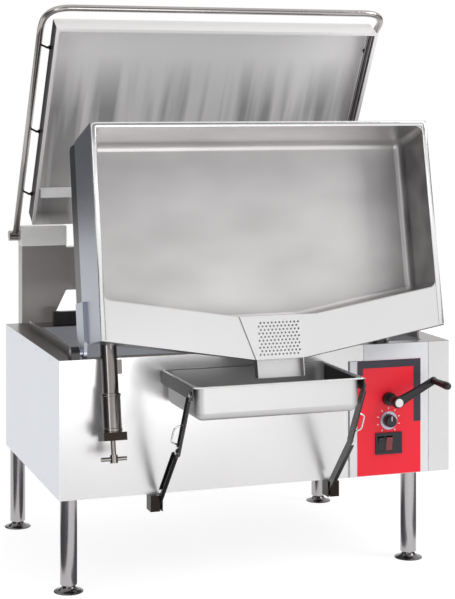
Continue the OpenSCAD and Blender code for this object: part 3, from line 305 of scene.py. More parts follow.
def turned(profile, centre, axis, across, segments=48):
    """Surface of revolution: each (radius, height) of the profile carried round the axis at centre,
    from the direction across."""
    profile = np.array(profile, float)
    axis = np.array(axis, float) / np.linalg.norm(axis)
    across = np.array(across, float) / np.linalg.norm(across)
    a = np.linspace(0, 2 * np.pi, segments, endpoint=False)[:, None]
    ring = np.cos(a) * across + np.sin(a) * np.cross(axis, across)
    points = np.array(centre, float) + profile[:, 0, None, None] * ring + profile[:, 1, None, None] * axis
    return points, grid_faces(len(profile), segments)


FOOT_X = 558
FOOT_Y = 385
FLANGE_PROFILE = [(44.4, 0.0), (44.6, 1.6), (43.4, 2.8), (38.0, 4.2), (31.0, 6.2), (25.5, 9.5), (21.5, 14.0),
                  (19.4, 19.0), (19.0, 21.6), (22.5, 21.9), (24.6, 22.0), (24.9, 24.0), (24.9, 29.0)]
for side, sx in (("left", -1), ("right", 1)):
    for end, sy in (("front", -1), ("rear", 1)):
        foot = solid(f"foot_{side}_{end}", "cabinet", "polished_tube", foot_chrome,
                     *turned(FLANGE_PROFILE, (sx * FOOT_X, sy * FOOT_Y, 0), Z, X), smooth=True)
        crease(foot, degrees=40)
        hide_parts("flanged_feet")

# Cabinet: folded stainless sheets round the base frame. The front and the sides are brushed
# upright, and the deck from front to back. The console's front is painted white, and the rest
# bar, the bearings and the tray's rails black.
front_steel = finish("front_steel", linear(216, 215, 215), grain=(900, 60, 30), roughness=0.24, metallic=0.7,
                     vary=0.012, rough_vary=0.02, bump=0.01, smudge=0.03)
side_steel = finish("side_steel", linear(226, 229, 236), grain=(60, 900, 30), roughness=0.3, metallic=0.6,
                    vary=0.012, rough_vary=0.02, bump=0.01, smudge=0.02)
deck_steel = finish("deck_steel", linear(146, 142, 141), grain=(900, 30, 60), roughness=0.3, metallic=1.0,
                    vary=0.012, rough_vary=0.02, bump=0.004)
dress(front_steel, "front_panel", "right_panel")
dress(side_steel, "left_panel", "rear_panel")
dress(deck_steel, "deck")
white_paint = finish("white_paint", linear(236, 237, 240), grain=700, roughness=0.3, vary=0.008,
                     rough_vary=0.03, bump=0.01, smudge=0.01)
dress(white_paint, "console_front")
black_paint = finish("black_paint", linear(24, 23, 26), grain=700, roughness=0.3, vary=0.05)
dress(black_paint, "rear_rest_bar", "trunnion_bearings", "crank_bearing", "rail_left", "rail_right")

# Console: a screen-printed plate on the white front, with a moulded dial and rockers. Its nine
# ticks are printed, and the dial's grip is fluted and has a white pointer let into its face.
plate_red = finish("plate_red", linear(250, 14, 46), grain=700, roughness=0.4, vary=0.01, rough_vary=0.03,
                   bump=0.005, smudge=0.015)
dress(plate_red, "control_plate")
# Dark print along the plate's top, which along its right side stands as a painted shadow of the gap beside
# the plate.
border_print_and_gap_shadow = finish("border_print_and_gap_shadow", linear(44, 40, 58), grain=700, roughness=0.4, rough_vary=0.03, bump=0.005)
dress(border_print_and_gap_shadow, "control_border")
bezel_grey = finish("bezel_grey", linear(176, 176, 190), grain=500, roughness=0.28, metallic=0.8)
dress(bezel_grey, "dial_bezel")
moulded_black = finish("moulded_black", linear(18, 18, 24), grain=700, roughness=0.34, vary=0.05)
dress(moulded_black, "thermostat_knob", "switch_bezel", "heat_rocker", "crank_grip")
lens_red = finish("lens_red", linear(126, 22, 34), grain=500, roughness=0.2, vary=0.05, rough_vary=0.03,
                  bump=0.01, coat=0.4)
dress(lens_red, "power_rocker")
cream_body = finish("cream_body", linear(214, 205, 180), grain=500, roughness=0.5)
dress(cream_body, "thermostat_body")
box_grey = finish("box_grey", linear(140, 143, 146), grain=600, roughness=0.45)
dress(box_grey, "contactor_box", "supply_gland")

DIAL_X = 472.0
DIAL_Z = 452.0
PLATE_Y = -421.2


def bars(rows):
    """Flat bars as one mesh: each row is a centre (x, z), a turn, a length, a width, and the front
    and back in y. A corner is the centre, plus or minus half the length along the turn, plus or
    minus half the width across it."""
    x, z, turn, length, width, front, back = np.array(rows, float).T[:, :, None]
    along = length / 2 * np.array([-1, 1, 1, -1] * 2)
    across = width / 2 * np.array([-1, -1, 1, 1] * 2)
    points = np.stack([x + along * np.cos(turn) - across * np.sin(turn),
                       np.where(np.arange(8) < 4, back, front),
                       z + along * np.sin(turn) + across * np.cos(turn)], -1)
    faces = 8 * np.arange(len(rows))[:, None, None] + np.array(grid_faces(2, 4))
    return points, faces.reshape(-1, 4).tolist()


TICK_RADIUS = 38.0
TICK_LENGTH = 6.5
TICK_WIDTH = 2.6
PRINT_THICK = 0.5
TICK_TURNS = np.radians(np.linspace(-54, 234, 9))
print_white = finish("print_white", linear(240, 240, 240), grain=150, roughness=0.4, vary=0.01)
ticks = [(DIAL_X + TICK_RADIUS * np.cos(t), DIAL_Z + TICK_RADIUS * np.sin(t), t, TICK_LENGTH, TICK_WIDTH,
          PLATE_Y - PRINT_THICK, PLATE_Y) for t in TICK_TURNS]
solid("dial_ticks", "cabinet", "white_plastic", print_white, *bars(ticks))

# Height and radius of the grip's rings as shares of the whole, from its back to the middle of its
# face. Only the rings wider than FLUTED_SHARE are fluted.
GRIP_SHARES = np.array([(0.0, 1.0), (0.12, 1.0), (0.75, 0.93), (0.93, 0.89), (1.0, 0.80), (1.0, 0.4),
                        (1.0, 0.02)])
FLUTED_SHARE = 0.7


def fluted(radius, depth, flutes, height, centre, steps=144):
    """Grip of a knob: rings of the shares above, their radius less depth times a raised cosine of
    the turn, standing forward of centre."""
    a = np.linspace(0, 2 * np.pi, steps, endpoint=False)
    height_share, radius_share = GRIP_SHARES.T[:, :, None]
    wave = (0.5 - 0.5 * np.cos(flutes * a)) * (radius_share > FLUTED_SHARE)
    r = radius * radius_share - depth * wave
    forward = height * height_share * np.ones(steps)
    points = np.stack([centre[0] + r * np.cos(a), centre[1] - forward, centre[2] + r * np.sin(a)], -1)
    return points, grid_faces(len(GRIP_SHARES), steps)


GRIP_BACK = PLATE_Y - 4.5
POINTER_RISE = 9.5
POINTER_LENGTH = 15.0
POINTER_WIDTH = 2.4
POINTER_FRONT = PLATE_Y - 28.1
POINTER_BACK = PLATE_Y - 27.0
knob = solid("knob_grip", "knob", "black_plastic", moulded_black,
             *fluted(radius=20.5, depth=1.1, flutes=18, height=23.0, centre=(DIAL_X, GRIP_BACK, DIAL_Z)),
             smooth=True)
crease(knob, degrees=35)
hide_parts("thermostat_knob")
solid("knob_pointer", "knob", "white_plastic", print_white,
      *bars([(DIAL_X, DIAL_Z + POINTER_RISE, np.pi / 2, POINTER_LENGTH, POINTER_WIDTH, POINTER_FRONT,
              POINTER_BACK)]))

# Crank: a cast arm with a hub on its shaft, and a black sleeve that spins on a pin ahead of the
# console. It turns the worm of the tilt gear, plain steel in a grey housing.
CRANK_X = 472.0
CRANK_Z = 521.0
CRANK_TURN = np.radians(27)
CRANK_WAY = np.array([np.cos(CRANK_TURN), 0, np.sin(CRANK_TURN)])
CRANK_SIDE = np.array([-np.sin(CRANK_TURN), 0, np.cos(CRANK_TURN)])
cast_black = finish("cast_black", linear(20, 19, 22), grain=500, roughness=0.26, vary=0.08, rough_vary=0.06,
                    bump=0.1, depth=0.0002)
dress(cast_black, "crank_arm")
dress(frame_steel, "crank_shaft", "worm_shaft", "gear_sector", "torsion_springs")
# White for the crank's cap, and for the towers' tops as a painted highlight.
white_cap_and_highlight = finish("white_cap_and_highlight", linear(244, 244, 242), grain=500, vary=0.01)
dress(white_cap_and_highlight, "crank_cap")
housing_grey = finish("housing_grey", linear(96, 98, 100), grain=300, roughness=0.5, metallic=0.3, vary=0.08,
                      rough_vary=0.08, bump=0.2, depth=0.0003)
dress(housing_grey, "tilt_gearbox")

# Distance along the arm, half its height, half its thickness, and its middle in y.
ARM_STATIONS = [(-13, 6, 4, -494), (-10, 12, 6, -494), (0, 16.5, 7, -494), (14, 16, 7, -494),
                (30, 14.6, 6.4, -494.5), (60, 13.2, 6, -495), (100, 12.4, 6, -495), (138, 12.6, 6, -495),
                (146, 9.5, 5, -495), (149, 4, 3, -495)]
ARM_SQUARENESS = 0.7


def lofted(stations, around=32):
    """Rounded sections along the crank's arm: the cosine and sine of the turn, each raised to the
    squareness with its sign kept, times the station's half height and half thickness."""
    reach, height, thick, middle = np.array(stations, float).T[:, :, None, None]
    a = np.linspace(0, 2 * np.pi, around, endpoint=False)[:, None]
    p, q = (np.sign(f(a)) * np.abs(f(a)) ** ARM_SQUARENESS for f in (np.cos, np.sin))
    hub = np.array([CRANK_X, 0, CRANK_Z])
    points = hub + reach * CRANK_WAY + height * p * CRANK_SIDE + (middle + thick * q) * Y
    return points, grid_faces(len(stations), around)


HUB_BACK = -479
HUB_PROFILE = [(8.2, 0), (17.0, 0), (18.2, 2), (18.2, 17), (16.0, 21), (11.5, 22), (8.2, 22)]
SLEEVE_BACK = -501
SLEEVE_REACH = 136
SLEEVE_PROFILE = [(5.2, 1.5), (8.6, 1.5), (10.4, 3.5), (9.8, 14), (10.6, 40), (12.0, 74), (12.2, 90),
                  (10.8, 98), (7.5, 101), (5.2, 101)]
PIN_PROFILE = [(4.9, 0), (4.9, 102), (7.4, 102), (8.2, 103.2), (6.6, 105.4), (2.0, 106.0)]
arm = solid("crank_casting", "crank", "black_enamel", cast_black, *lofted(ARM_STATIONS), smooth=True)
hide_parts("crank_arm")
solid("crank_hub", "crank", "black_enamel", cast_black,
      *turned(HUB_PROFILE, (CRANK_X, HUB_BACK, CRANK_Z), -Y, X), smooth=True)
sleeve_at = np.array([CRANK_X, SLEEVE_BACK, CRANK_Z]) + SLEEVE_REACH * CRANK_WAY
grip = solid("grip_sleeve", "grip", "black_plastic", moulded_black,
             *turned(SLEEVE_PROFILE, sleeve_at, -Y, X), smooth=True)
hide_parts("crank_grip")
solid("grip_pin", "crank", "black_enamel", cast_black, *turned(PIN_PROFILE, sleeve_at, -Y, X), smooth=True)

# Pan: a stainless jacket round a pressed vessel, with a half-round rim on its two sides and its
# rear. The vessel is brushed across, and the inside of its right wall is painted dark in streaks, as painted
# shade.
TILT = np.radians(78.5)
PAN_AXIS = np.array([-395.0, 712.0])


def swung(points, hinge, turn):
    """Points measured from a hinge that runs along X, turned about it and set at its (y, z): y
    becomes y times the cosine less z times the sine, and z y times the sine plus z times the
    cosine."""
    x, y, z = np.moveaxis(np.array(points, float), -1, 0)
    return np.stack([x, hinge[0] + y * np.cos(turn) - z * np.sin(turn),
                     hinge[1] + y * np.sin(turn) + z * np.cos(turn)], -1)


def from_level(points):
    """Points of the level pan, measured from its tilt axis, where the tilted pan holds them."""
    return swung(points, PAN_AXIS, TILT)


STREAK_RAMP = (0.38, 0.62)
FACING_RAMP = 0.3


def paint_shade(mat, colour, axis, start, full, shade, streaks, facing):
    """Painted shade over a finish, down to shade times its colour. Its share is the product of three
    ramps: the place along axis from start to full, in metres, the slow noise, which takes up to
    streaks of it away, and how far a face looks the way of facing."""
    tree = mat.node_tree
    place = tree.nodes["place"].outputs
    split = add_node(tree, "SeparateXYZ", {0: place["Object"]})
    reach = add_node(tree, "MapRange", {"Value": split.outputs[axis], "From Min": start, "From Max": full})
    streak = add_node(tree, "MapRange", {
        "Value": tree.nodes["slow"].outputs["Fac"], "From Min": STREAK_RAMP[0], "From Max": STREAK_RAMP[1],
        "To Min": 1 - streaks})
    faced = add_node(tree, "VectorMath", {0: place["Normal"], 1: facing}, operation="DOT_PRODUCT")
    side = add_node(tree, "MapRange", {"Value": faced.outputs["Value"], "From Max": FACING_RAMP})
    ramps = {0: reach.outputs["Result"], 1: streak.outputs["Result"]}
    streaked_reach = add_node(tree, "Math", ramps, operation="MULTIPLY")
    ramps = {0: streaked_reach.outputs[0], 1: side.outputs["Result"]}
    share = add_node(tree, "Math", ramps, operation="MULTIPLY")
    tones = {"Factor": share.outputs[0], "A": tree.nodes["tone"].outputs["Result"],
             "B": (*np.array(colour) * shade, 1)}
    shaded_tone = add_node(tree, "Mix", tones, data_type="RGBA")
    tree.links.new(shaded_tone.outputs["Result"], tree.nodes["Principled BSDF"].inputs["Base Color"])


VESSEL_GREY = linear(204, 201, 201)
vessel_steel = finish("vessel_steel", VESSEL_GREY, grain=(30, 900, 900), roughness=0.36, metallic=0.85,
                      vary=0.01, rough_vary=0.02, bump=0.004, smudge=0.16, drift=(2.6, 5.0, 5.0))
# Painted shade: the right wall's inside, where it looks left, is darkened in streaks from x 0.545 m on.
paint_shade(vessel_steel, VESSEL_GREY, "X", start=0.545, full=0.572, shade=0.14, streaks=0.3, facing=-X)
jacket_steel = finish("jacket_steel", linear(166, 169, 180), grain=(900, 30, 900), roughness=0.3,
                      metallic=1.0, vary=0.015, rough_vary=0.03, bump=0.01)
lip_steel = finish("lip_steel", linear(218, 218, 218), grain=(30, 900, 900), roughness=0.36, metallic=0.6,
                   vary=0.01, rough_vary=0.03, bump=0.01, smudge=0.02)
dress(vessel_steel, "pan_shell")
dress(jacket_steel, "pan_jacket", "trunnion_shafts")
dress(lip_steel, "lip_plate", "spout", "strainer")
dress(black_paint, "heater_box")
plate_steel = finish("plate_steel", linear(110, 108, 106), grain=200, roughness=0.5, metallic=1.0, vary=0.06,
                     rough_vary=0.06, bump=0.1)
dress(plate_steel, "pan_floor_plate")
element_tint = finish("element_tint", linear(120, 96, 80), grain=(40, 300, 300), roughness=0.4, metallic=0.9,
                      vary=0.08, rough_vary=0.06, bump=0.05)
dress(element_tint, "heating_elements")
board = finish("board", linear(206, 190, 140), grain=200, roughness=0.9, vary=0.08, bump=0.4, depth=0.0008)
dress(board, "pan_insulation")


def swept(path, section, across, closed=False):
    """A section carried along a path of straight runs: at each bend it lies in the plane that
    halves the corner, so its walls stay parallel. across is the path's plane normal, and section
    points are (outward, along the normal), where outward is the way crossed with the normal."""
    path = np.array(path, float)
    section = np.array(section, float)
    step = np.diff(path, axis=0, append=path[:1]) if closed else np.diff(path, axis=0)
    way = step / np.linalg.norm(step, axis=1)[:, None]
    before = np.roll(way, 1, axis=0) if closed else np.vstack([way[:1], way])
    after = way if closed else np.vstack([way, way[-1:]])
    out = np.cross(before, across) + np.cross(after, across)
    out /= np.linalg.norm(out, axis=1)[:, None]
    out /= np.sum(out * np.cross(after, across), axis=1)[:, None]
    grid = path[:, None] + section[:, 0, None] * out[:, None] + section[:, 1, None] * across
    n, m = len(path), len(section)
    faces = grid_faces(n, m, caps=not closed)
    if closed:
        faces += [[(n - 1) * m + j, (n - 1) * m + (j + 1) % m, (j + 1) % m, j] for j in range(m)]
    return grid, faces


def rounded(corners, radius, steps=5):
    """A path with each inner corner replaced by a curve that starts and ends radius from it: its
    ends and the corner itself, weighted by (1 - t) squared, t squared and 2 t (1 - t). radius is
    one length, or one for each corner."""
    corners = np.array(corners, float)
    t = np.linspace(0, 1, steps)[:, None]
    out = [corners[:1]]
    for a, b, c, r in zip(corners, corners[1:], corners[2:], np.broadcast_to(radius, len(corners) - 2)):
        p = b + r * (a - b) / np.linalg.norm(a - b)
        q = b + r * (c - b) / np.linalg.norm(c - b)
        out.append((1 - t) ** 2 * p + 2 * t * (1 - t) * b + t ** 2 * q)
    out.append(corners[-1:])
    return np.vstack(out)


PAN_X = (-500, 579)
PAN_Y = (26, 658)
RIM_TOP = 195.5
RIM_HALF = 8.4
RIM_RISE = 3.4
RIM_LIFT = 0.2
rim_corners = [(PAN_X[0], PAN_Y[0]), (PAN_X[0], PAN_Y[1]), (PAN_X[1], PAN_Y[1]), (PAN_X[1], PAN_Y[0])]
rim_path = rounded([(x, y, RIM_TOP) for x, y in rim_corners], radius=10)
half_turn = np.linspace(0, np.pi, 9)
rim_section = np.stack([RIM_HALF * np.cos(half_turn), RIM_LIFT + RIM_RISE * np.sin(half_turn)], -1)
grid, faces = swept(rim_path, rim_section, Z)
rim_steel = finish("rim_steel", linear(228, 228, 228), grain=300, roughness=0.2, metallic=0.9, vary=0.015,
                   rough_vary=0.03, bump=0.01, smudge=0.02)
solid("pan_rim", "pan", "stainless_bright", rim_steel, from_level(grid), faces, smooth=True)

# Lip: a stainless plate along the pan's front edge, with the spout at its middle. Its edge is
# folded under into a narrow hem, painted dark as painted shade where it turns away.
# Dark steel: the strainer's joint, and painted shade on the lip's hem, the spout's cheeks and the cover's
# skirts.
joint_and_shade_dark = finish("joint_and_shade_dark", linear(112, 108, 108), grain=300, roughness=0.3, metallic=1.0)
HEM_RADIUS = 2.6
HEM_Z = 191.2
HEM_PATHS = {"left": [(-507, 25, HEM_Z), (-507, 23, HEM_Z), (-38.0, -54.6, HEM_Z)],
             "right": [(117.0, -54.6, HEM_Z), (586, 23, HEM_Z), (586, 25, HEM_Z)]}


def oval(half_width, half_height, steps):
    """Oval section: its half sizes times the cosine and the sine of an even turn."""
    turn = np.linspace(0, 2 * np.pi, steps, endpoint=False)
    return np.stack([half_width * np.cos(turn), half_height * np.sin(turn)], -1)


for label, path in HEM_PATHS.items():
    grid, faces = swept(path, oval(HEM_RADIUS, HEM_RADIUS, steps=12), Z)
    solid("lip_hem_" + label, "pan", "stainless_dark", joint_and_shade_dark, from_level(grid), faces, smooth=True)

# Strainer and spout: the perforated strainer lies in a step of the lip and leaves a narrow joint
# on its left. The spout's cheeks, on either side of it, are turned away from the light and painted dark as
# painted shade.
JOINT_RADIUS = 1.17
JOINT_PATH = [(-83.0, 73.5, 196.6), (-60.8, 9.0, 196.6), (-38.9, -54.5, 196.6)]
CHEEK_Y = (-57.0, -83.0, -108.6)
CHEEK_Z = (170.6, 194.6)
CHEEK_HALF = 0.45


def side_sheet(x, places, low, high, half):
    """Flat sheet square to X: half its thickness to either side of x and from low to high in z,
    carried forward along Y through its places."""
    section = [(high, -half), (high, half), (low, half), (low, -half)]
    return swept([(x, y, 0) for y in places], section, X)


grid, faces = swept(JOINT_PATH, oval(JOINT_RADIUS, JOINT_RADIUS, steps=12), Z)
solid("strainer_joint", "pan", "stainless_dark", joint_and_shade_dark, from_level(grid), faces)
for label, x in (("left", -35.0), ("right", 111.0)):
    grid, faces = side_sheet(x, CHEEK_Y, *CHEEK_Z, CHEEK_HALF)
    solid("spout_cheek_" + label, "pan", "stainless_dark", joint_and_shade_dark, from_level(grid), faces)

# Draw-off valve: a tube from the vessel's front wall, a sleeve with a square nut, and a
# plunger with a T-bar. Two turned rings stand proud of the sleeve.
valve_steel = finish("valve_steel", linear(140, 134, 132), grain=500, roughness=0.18, metallic=1.0)
nut_steel = finish("nut_steel", linear(42, 37, 35), grain=500, roughness=0.3, metallic=1.0, vary=0.05)
dress(valve_steel, "drawoff_tube", "drain_plunger", "drain_tee")
dress(nut_steel, "drawoff_nut")
VALVE_ROOT = (-450.0, 24.0, 49.5)
RING_INNER = 28.4
RING_OUTER = 30.2
RING_CHAMFER = 1.4


def ring_profile(start, length):
    """Cross-section of a ring on the sleeve, with chamfered outer edges."""
    end = start + length
    shoulder = RING_OUTER - RING_CHAMFER
    return [(RING_INNER, start), (shoulder, start), (RING_OUTER, start + RING_CHAMFER),
            (RING_OUTER, end - RING_CHAMFER), (shoulder, end), (RING_INNER, end)]


for label, start, length in (("upper", 149.0, 9.0), ("lower", 250.0, 10.0)):
    points, faces = turned(ring_profile(start, length), VALVE_ROOT, -Y, X)
    solid("sleeve_ring_" + label, "pan", "polished_tube", valve_steel, from_level(points), faces)

# Cover: a shallow box of folded sheet on a bent tube. A guide inside its rear edge leads drips
# back into the pan, and its inside is painted darker in streaks towards the bottom, as painted shade.
COVER_TURN = np.radians(-59.5)
HINGE = np.array([440.0, 998.0])


def from_closed(points):
    """Points of the closed cover, measured from its hinge, where the open cover holds them."""
    return swung(points, HINGE, COVER_TURN)


COVER_WHITE = linear(253, 251, 250)
cover_steel = finish("cover_steel", COVER_WHITE, grain=(900, 20, 20), roughness=0.34, metallic=0.2,
                     vary=0.015, rough_vary=0.03, bump=0.005, smudge=0.0, drift=(18, 1.1, 1.1))
# Painted shade: where the inside looks forward, it is darkened in streaks below 1.62 m, fully below 1.44 m.
paint_shade(cover_steel, COVER_WHITE, "Z", start=1.62, full=1.44, shade=0.48, streaks=1.0, facing=-Y)
dress(cover_steel, "cover_panel")
guide_steel = finish("guide_steel", linear(250, 250, 250), grain=(20, 700, 700), roughness=0.3, metallic=0.2,
                     vary=0.01, rough_vary=0.02, bump=0.005, smudge=0.01)
dress(guide_steel, "condensate_guide")
APRON_X = np.array([-504.0, -496.0, 566.0, 574.0])
APRON_EDGE = np.array([0, -236.5, -65.5])
APRON_FALL = np.array([0, 0.8616, -0.5075])
APRON_WIDTH = 30.0
APRON_HALF = 0.7
fall = APRON_WIDTH * np.array([[0], [1], [1], [0]]) * APRON_FALL
lift = APRON_HALF * np.array([[1], [1], [-1], [-1]]) * np.cross(X, APRON_FALL)
grid = APRON_X[:, None, None] * X + APRON_EDGE + fall + lift
solid("guide_apron", "cover", "stainless_bright", guide_steel, from_closed(grid), grid_faces(4, 4))
handle_steel = finish("handle_steel", linear(176, 171, 169), grain=500, roughness=0.16, metallic=0.9)
dress(handle_steel, "hinge_shaft")
dress(nut_steel, "cover_screws")

# Cover handle: one steel tube, bent down towards the front of the closed cover and rounded at its
# front corners. Collars hold it at the hinge, and three thin stays a side stand in nuts on the
# skirts.
BAR_X = (-555.0, 622.0)
BAR_RADIUS = 11.0
BAR_ROOT = -15.0
BAR_KINK = -819.0
BAR_NOSE = 115.0
BAR_DROP = np.radians(28)
BAR_BENDS = (30, 82, 82, 30)
ANY_WAY = (0.31, 0.84, 0.45)


def bent_tube(path, radius, steps=24):
    """Round tube or wire carried along any bent path: the ring's first direction is passed on
    from point to point, with the part of it along the path taken out each time."""
    path = np.array(path, float)
    way = np.gradient(path, axis=0)
    way /= np.linalg.norm(way, axis=1)[:, None]
    side = np.cross(way[0], ANY_WAY)
    a = np.linspace(0, 2 * np.pi, steps, endpoint=False)[:, None]
    rings = []
    for point, along in zip(path, way):
        side = side - np.dot(side, along) * along
        side /= np.linalg.norm(side)
        rings.append(point + radius * (np.cos(a) * side + np.sin(a) * np.cross(along, side)))
    return np.array(rings), grid_faces(len(path), steps)


nose = (BAR_KINK - BAR_NOSE * np.cos(BAR_DROP), -BAR_NOSE * np.sin(BAR_DROP))
bar_path = rounded([(BAR_X[0], BAR_ROOT, 0), (BAR_X[0], BAR_KINK, 0), (BAR_X[0], *nose), (BAR_X[1], *nose),
                    (BAR_X[1], BAR_KINK, 0), (BAR_X[1], BAR_ROOT, 0)], BAR_BENDS, steps=12)
points, faces = bent_tube(bar_path, BAR_RADIUS)
handle = solid("handle_tube", "cover", "polished_tube", handle_steel, from_closed(points), faces, smooth=True)
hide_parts("cover_handle")

COLLAR_PROFILE = [(12.8, 0), (17.4, 0), (18.0, 0.6), (18.0, 37.8), (17.4, 38.4), (12.8, 38.4)]
STAY_PLACES = (-190.0, -440.0, -760.0)
STAY_Z = -24.5
STAY_RADIUS = 3.4
STAY_ROOT = 11.0
STAY_SHORT = 7.0
NUT_PROFILE = [(7.0, 0), (7.0, 4.5), (5.6, 5.8)]
NUT_GAP = 0.3
for label, bar_x, skirt_x, collar_x in (("left", BAR_X[0], -521.0, -578.2),
                                        ("right", BAR_X[1], 590.0, 606.8)):
    points, faces = turned(COLLAR_PROFILE, (collar_x, 0, 0), X, Y)
    solid("hinge_collar_" + label, "cover", "polished_tube", handle_steel, from_closed(points), faces)
    out = np.sign(bar_x - skirt_x)
    for k, y in enumerate(STAY_PLACES):
        root = np.array([skirt_x + out * STAY_ROOT, y, STAY_Z])
        lean = np.array([bar_x, y, 0.0]) - root
        stay_profile = [(STAY_RADIUS, 0), (STAY_RADIUS, np.linalg.norm(lean) - STAY_SHORT)]
        points, faces = turned(stay_profile, root, lean, Y, segments=20)
        solid(f"handle_stay_{label}_{k + 1}", "cover", "steel_frame", nut_steel, from_closed(points), faces,
              smooth=True)
        points, faces = turned(NUT_PROFILE, (skirt_x + out * NUT_GAP, y, STAY_Z), out * X, Y, segments=20)
        solid(f"stay_nut_{label}_{k + 1}", "cover", "steel_frame", nut_steel, from_closed(points), faces)

# Cover skirts: folded down from the panel and hemmed. The left one is painted dark outside as painted
# shade, and the right one is stiffened inside by a channel, painted dark as painted shade, between two bright
# beads.
SKIRT_Y = (-107.0, -480.0, -858.0)
SKIRT_Z = (-88.0, -16.0)
SKIRT_HALF = 0.4
COVER_HEM_PATH = [(-517.6, -108.4, -88), (-517.6, -856.6, -88), (586.6, -856.6, -88), (586.6, -108.4, -88)]
COVER_HEM_SECTION = [(-3.4, -0.8), (-3.4, 3.2), (7.0, 3.2), (7.0, -0.8)]
grid, faces = side_sheet(-521.6, SKIRT_Y, *SKIRT_Z, SKIRT_HALF)
solid("skirt_side_left", "cover", "stainless_dark", joint_and_shade_dark, from_closed(grid), faces)
grid, faces = swept(COVER_HEM_PATH, COVER_HEM_SECTION, Z)
solid("cover_hem", "cover", "stainless_satin", cover_steel, from_closed(grid), faces)

STIFFENER_Y = (-112.0, -480.0, -850.0)
for name, x, z, half_height, half, slot, metal in (
        ("channel", 587.4, -51.0, 27.0, 0.5, "stainless_dark", joint_and_shade_dark),
        ("bead_in", 586.4, -36.0, 2.2, 1.6, "stainless_bright", rim_steel),
        ("bead_out", 586.4, -64.0, 2.2, 1.6, "stainless_bright", rim_steel)):
    grid, faces = side_sheet(x, STIFFENER_Y, z - half_height, z + half_height, half)
    solid("skirt_" + name, "cover", slot, metal, from_closed(grid), faces)

# Hinge towers: folded boxes behind the deck, brushed upright, with the beam between them. Each is
# topped by a thin shell with rounded upper corners, drawn in a little at both ends and painted white as a
# painted highlight on the tower's top.
tower_steel = finish("tower_steel", linear(178, 173, 171), grain=(900, 900, 20), roughness=0.3, metallic=0.5,
                     vary=0.01, rough_vary=0.02, bump=0.005, smudge=0.03)
dress(tower_steel, "hinge_towers", "rear_beam")
dress(nut_steel, "carrier_brackets")
CAP_SECTION = rounded([(403.6, 963.0), (403.6, 1031.4), (468.4, 1031.4), (468.4, 963.0)], radius=7)
CAP_EDGE = 1.2
CAP_END_SHARE = 0.985
cap_middle = CAP_SECTION.mean(axis=0)
draw_share = np.array([CAP_END_SHARE, 1.0, 1.0, CAP_END_SHARE])[:, None, None]
cap_rings = cap_middle + draw_share * (CAP_SECTION - cap_middle)
# Thin white shells over the towers' tops: a painted highlight.
for label, x0, x1 in (("left", -540.4, -381.6), ("right", 448.6, 607.4)):
    ends = np.array([x0, x0 + CAP_EDGE, x1 - CAP_EDGE, x1])[:, None, None]
    grid = np.concatenate([np.broadcast_to(ends, (4, len(CAP_SECTION), 1)), cap_rings], -1)
    solid("tower_top_highlight_" + label, "cabinet", "stainless_bright", white_cap_and_highlight, grid,
          grid_faces(4, len(CAP_SECTION)))

# Receiving pan: a pressed food pan with a rolled rim, hung between two rails. A dark sheet inside
# its right wall is painted shade.
tray_steel = finish("tray_steel", linear(196, 195, 195), grain=(30, 500, 500), roughness=0.42, metallic=0.75,
                    vary=0.01, rough_vary=0.03, bump=0.003, smudge=0.03)
dress(tray_steel, "receiving_pan")
TRAY_X = (-274, -14, 246)
TRAY_Y = (-740.5, -425)
TRAY_TOP = 650.2
TRAY_ROLL = (4.6, 2.6)
tray_corners = [(TRAY_X[1], TRAY_Y[1]), (TRAY_X[2], TRAY_Y[1]), (TRAY_X[2], TRAY_Y[0]),
                (TRAY_X[0], TRAY_Y[0]), (TRAY_X[0], TRAY_Y[1]), (TRAY_X[1], TRAY_Y[1])]
tray_path = rounded([(x, y, TRAY_TOP) for x, y in tray_corners], radius=8)[:-1]
grid, faces = swept(tray_path, oval(*TRAY_ROLL, steps=10), Z, closed=True)
solid("tray_rolled_rim", "receiving_pan", "stainless_bright", rim_steel, grid, faces, smooth=True)
# A dark sheet on the inside of the right wall: painted shade.
TRAY_SHADE_X = 237.1
TRAY_SHADE_Y = (-458.0, -583.0, -708.0)
TRAY_SHADE_Z = (579.0, 647.5)
TRAY_SHADE_HALF = 0.4
tray_shade_dark = finish("tray_shade_dark", linear(66, 64, 64), grain=(30, 500, 500), roughness=0.3, metallic=1.0)
solid("tray_side_shade", "receiving_pan", "stainless_dark", tray_shade_dark,
      *side_sheet(TRAY_SHADE_X, TRAY_SHADE_Y, *TRAY_SHADE_Z, TRAY_SHADE_HALF))

# Carrier: each folding arm is a pressed channel, riveted at its ends, and a wire loop on the
# lower half of the upper arm is pulled to undo the elbow. The places are the left side's, and
# the right side mirrors them.
arm_paint = finish("arm_paint", linear(84, 82, 83), roughness=0.24, metallic=0.8, vary=0.05)
arm_edge = finish("arm_edge", linear(34, 33, 35), roughness=0.3, metallic=0.4, vary=0.05)
dress(arm_paint, "upper_arm_left", "upper_arm_right", "lower_arm_left", "lower_arm_right")
CARRIER_MIDDLE = -14.0
LOW_PIVOT = np.array([-432.5, 256.0])
RAIL_END = np.array([-722.5, 625.7])
ELBOW = np.array([-612.75, 442.0])
FLANGE_HALF = 12.4
FLANGE_WALL = 2.2
FLANGE_END_GAP = 13.0
# Each arm's first end, how far from it the flanges begin, and their inner and outer x.
ARM_FLANGES = (("upper", RAIL_END, 13.0, -285.5, -289.5), ("lower", LOW_PIVOT, 52.0, -290.0, -299.0))


def side_x(x, mirror):
    """x as it is, or its mirror image in the carrier's middle where mirror is -1."""
    return CARRIER_MIDDLE + mirror * (x - CARRIER_MIDDLE)


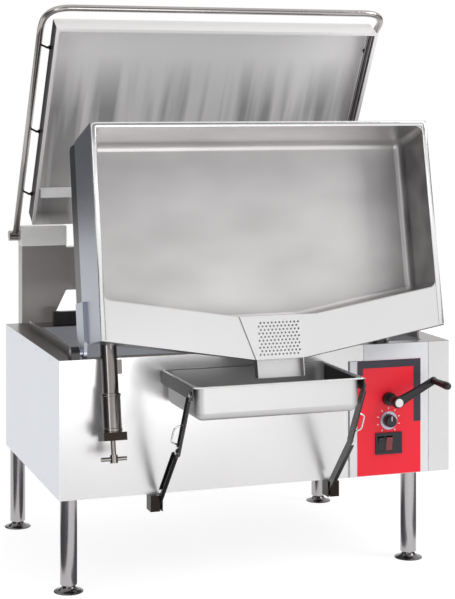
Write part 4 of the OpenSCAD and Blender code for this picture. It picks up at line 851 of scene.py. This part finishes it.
def flanges(a, b, x0, x1):
    """Two straight walls of a pressed channel beside the line from a to b in the carrier's plane:
    bars of the flange's wall, from x0 to x1, whose outer edges lie its half width from the line."""
    points, faces = [], []
    for edge in (FLANGE_HALF, FLANGE_WALL - FLANGE_HALF):
        inner = edge - FLANGE_WALL
        grid, quads = swept([(0, *a), (0, *b)], [(edge, x0), (edge, x1), (inner, x1), (inner, x0)], X)
        faces += [[len(points) + i for i in quad] for quad in quads]
        points += grid.reshape(-1, 3).tolist()
    return points, faces


# Radius and height of a rivet's domed head as shares of its radius and reach.
DOME_SHARES = np.array([(1.0, 0.0), (0.97, 0.35), (0.75, 0.75), (0.3, 0.97)])
DOME_POLE = 0.01
# Each rivet's name, its arm, its place, the x of its root, its reach and its radius.
RIVETS = (("elbow", "lower", ELBOW, -293.0, 3.2, 5.2), ("end", "upper", RAIL_END, -285.4, 3.0, 5.0))


def rivet(place, x, reach, radius):
    """Domed rivet head at a place in the carrier's plane, standing out along X by reach."""
    dome = [*(DOME_SHARES * (radius, abs(reach))), (DOME_POLE, abs(reach))]
    return turned(dome, (x, *place), np.sign(reach) * X, Y, segments=20)


PULL_RADIUS = 2.6
# The x of each corner of the pull, and its distance from the rail's end along the upper arm.
PULL_PLACES = ((-286.0, 106.0), (-312.0, 118.0), (-314.0, 172.0), (-286.0, 184.0))
for label, mirror in (("left", 1), ("right", -1)):
    for piece, end, gap, inner_x, outer_x in ARM_FLANGES:
        way = (ELBOW - end) / np.linalg.norm(ELBOW - end)
        points, faces = flanges(end + gap * way, ELBOW - FLANGE_END_GAP * way,
                                side_x(inner_x, mirror), side_x(outer_x, mirror))
        solid(f"{piece}_arm_flanges_{label}", f"{piece}_arm_{label}", "arm_grey", arm_edge, points, faces)
    for piece, arm, place, x, reach, radius in RIVETS:
        points, faces = rivet(place, side_x(x, mirror), -mirror * reach, radius)
        solid(f"{piece}_rivet_{label}", f"{arm}_arm_{label}", "steel_frame", rim_steel, points, faces,
              smooth=True)
    way = (ELBOW - RAIL_END) / np.linalg.norm(ELBOW - RAIL_END)
    pull_path = rounded([(side_x(x, mirror), *(RAIL_END + s * way)) for x, s in PULL_PLACES], radius=9)
    solid("elbow_pull_" + label, "upper_arm_" + label, "polished_tube", rim_steel,
          *bent_tube(pull_path, PULL_RADIUS, steps=10), smooth=True)
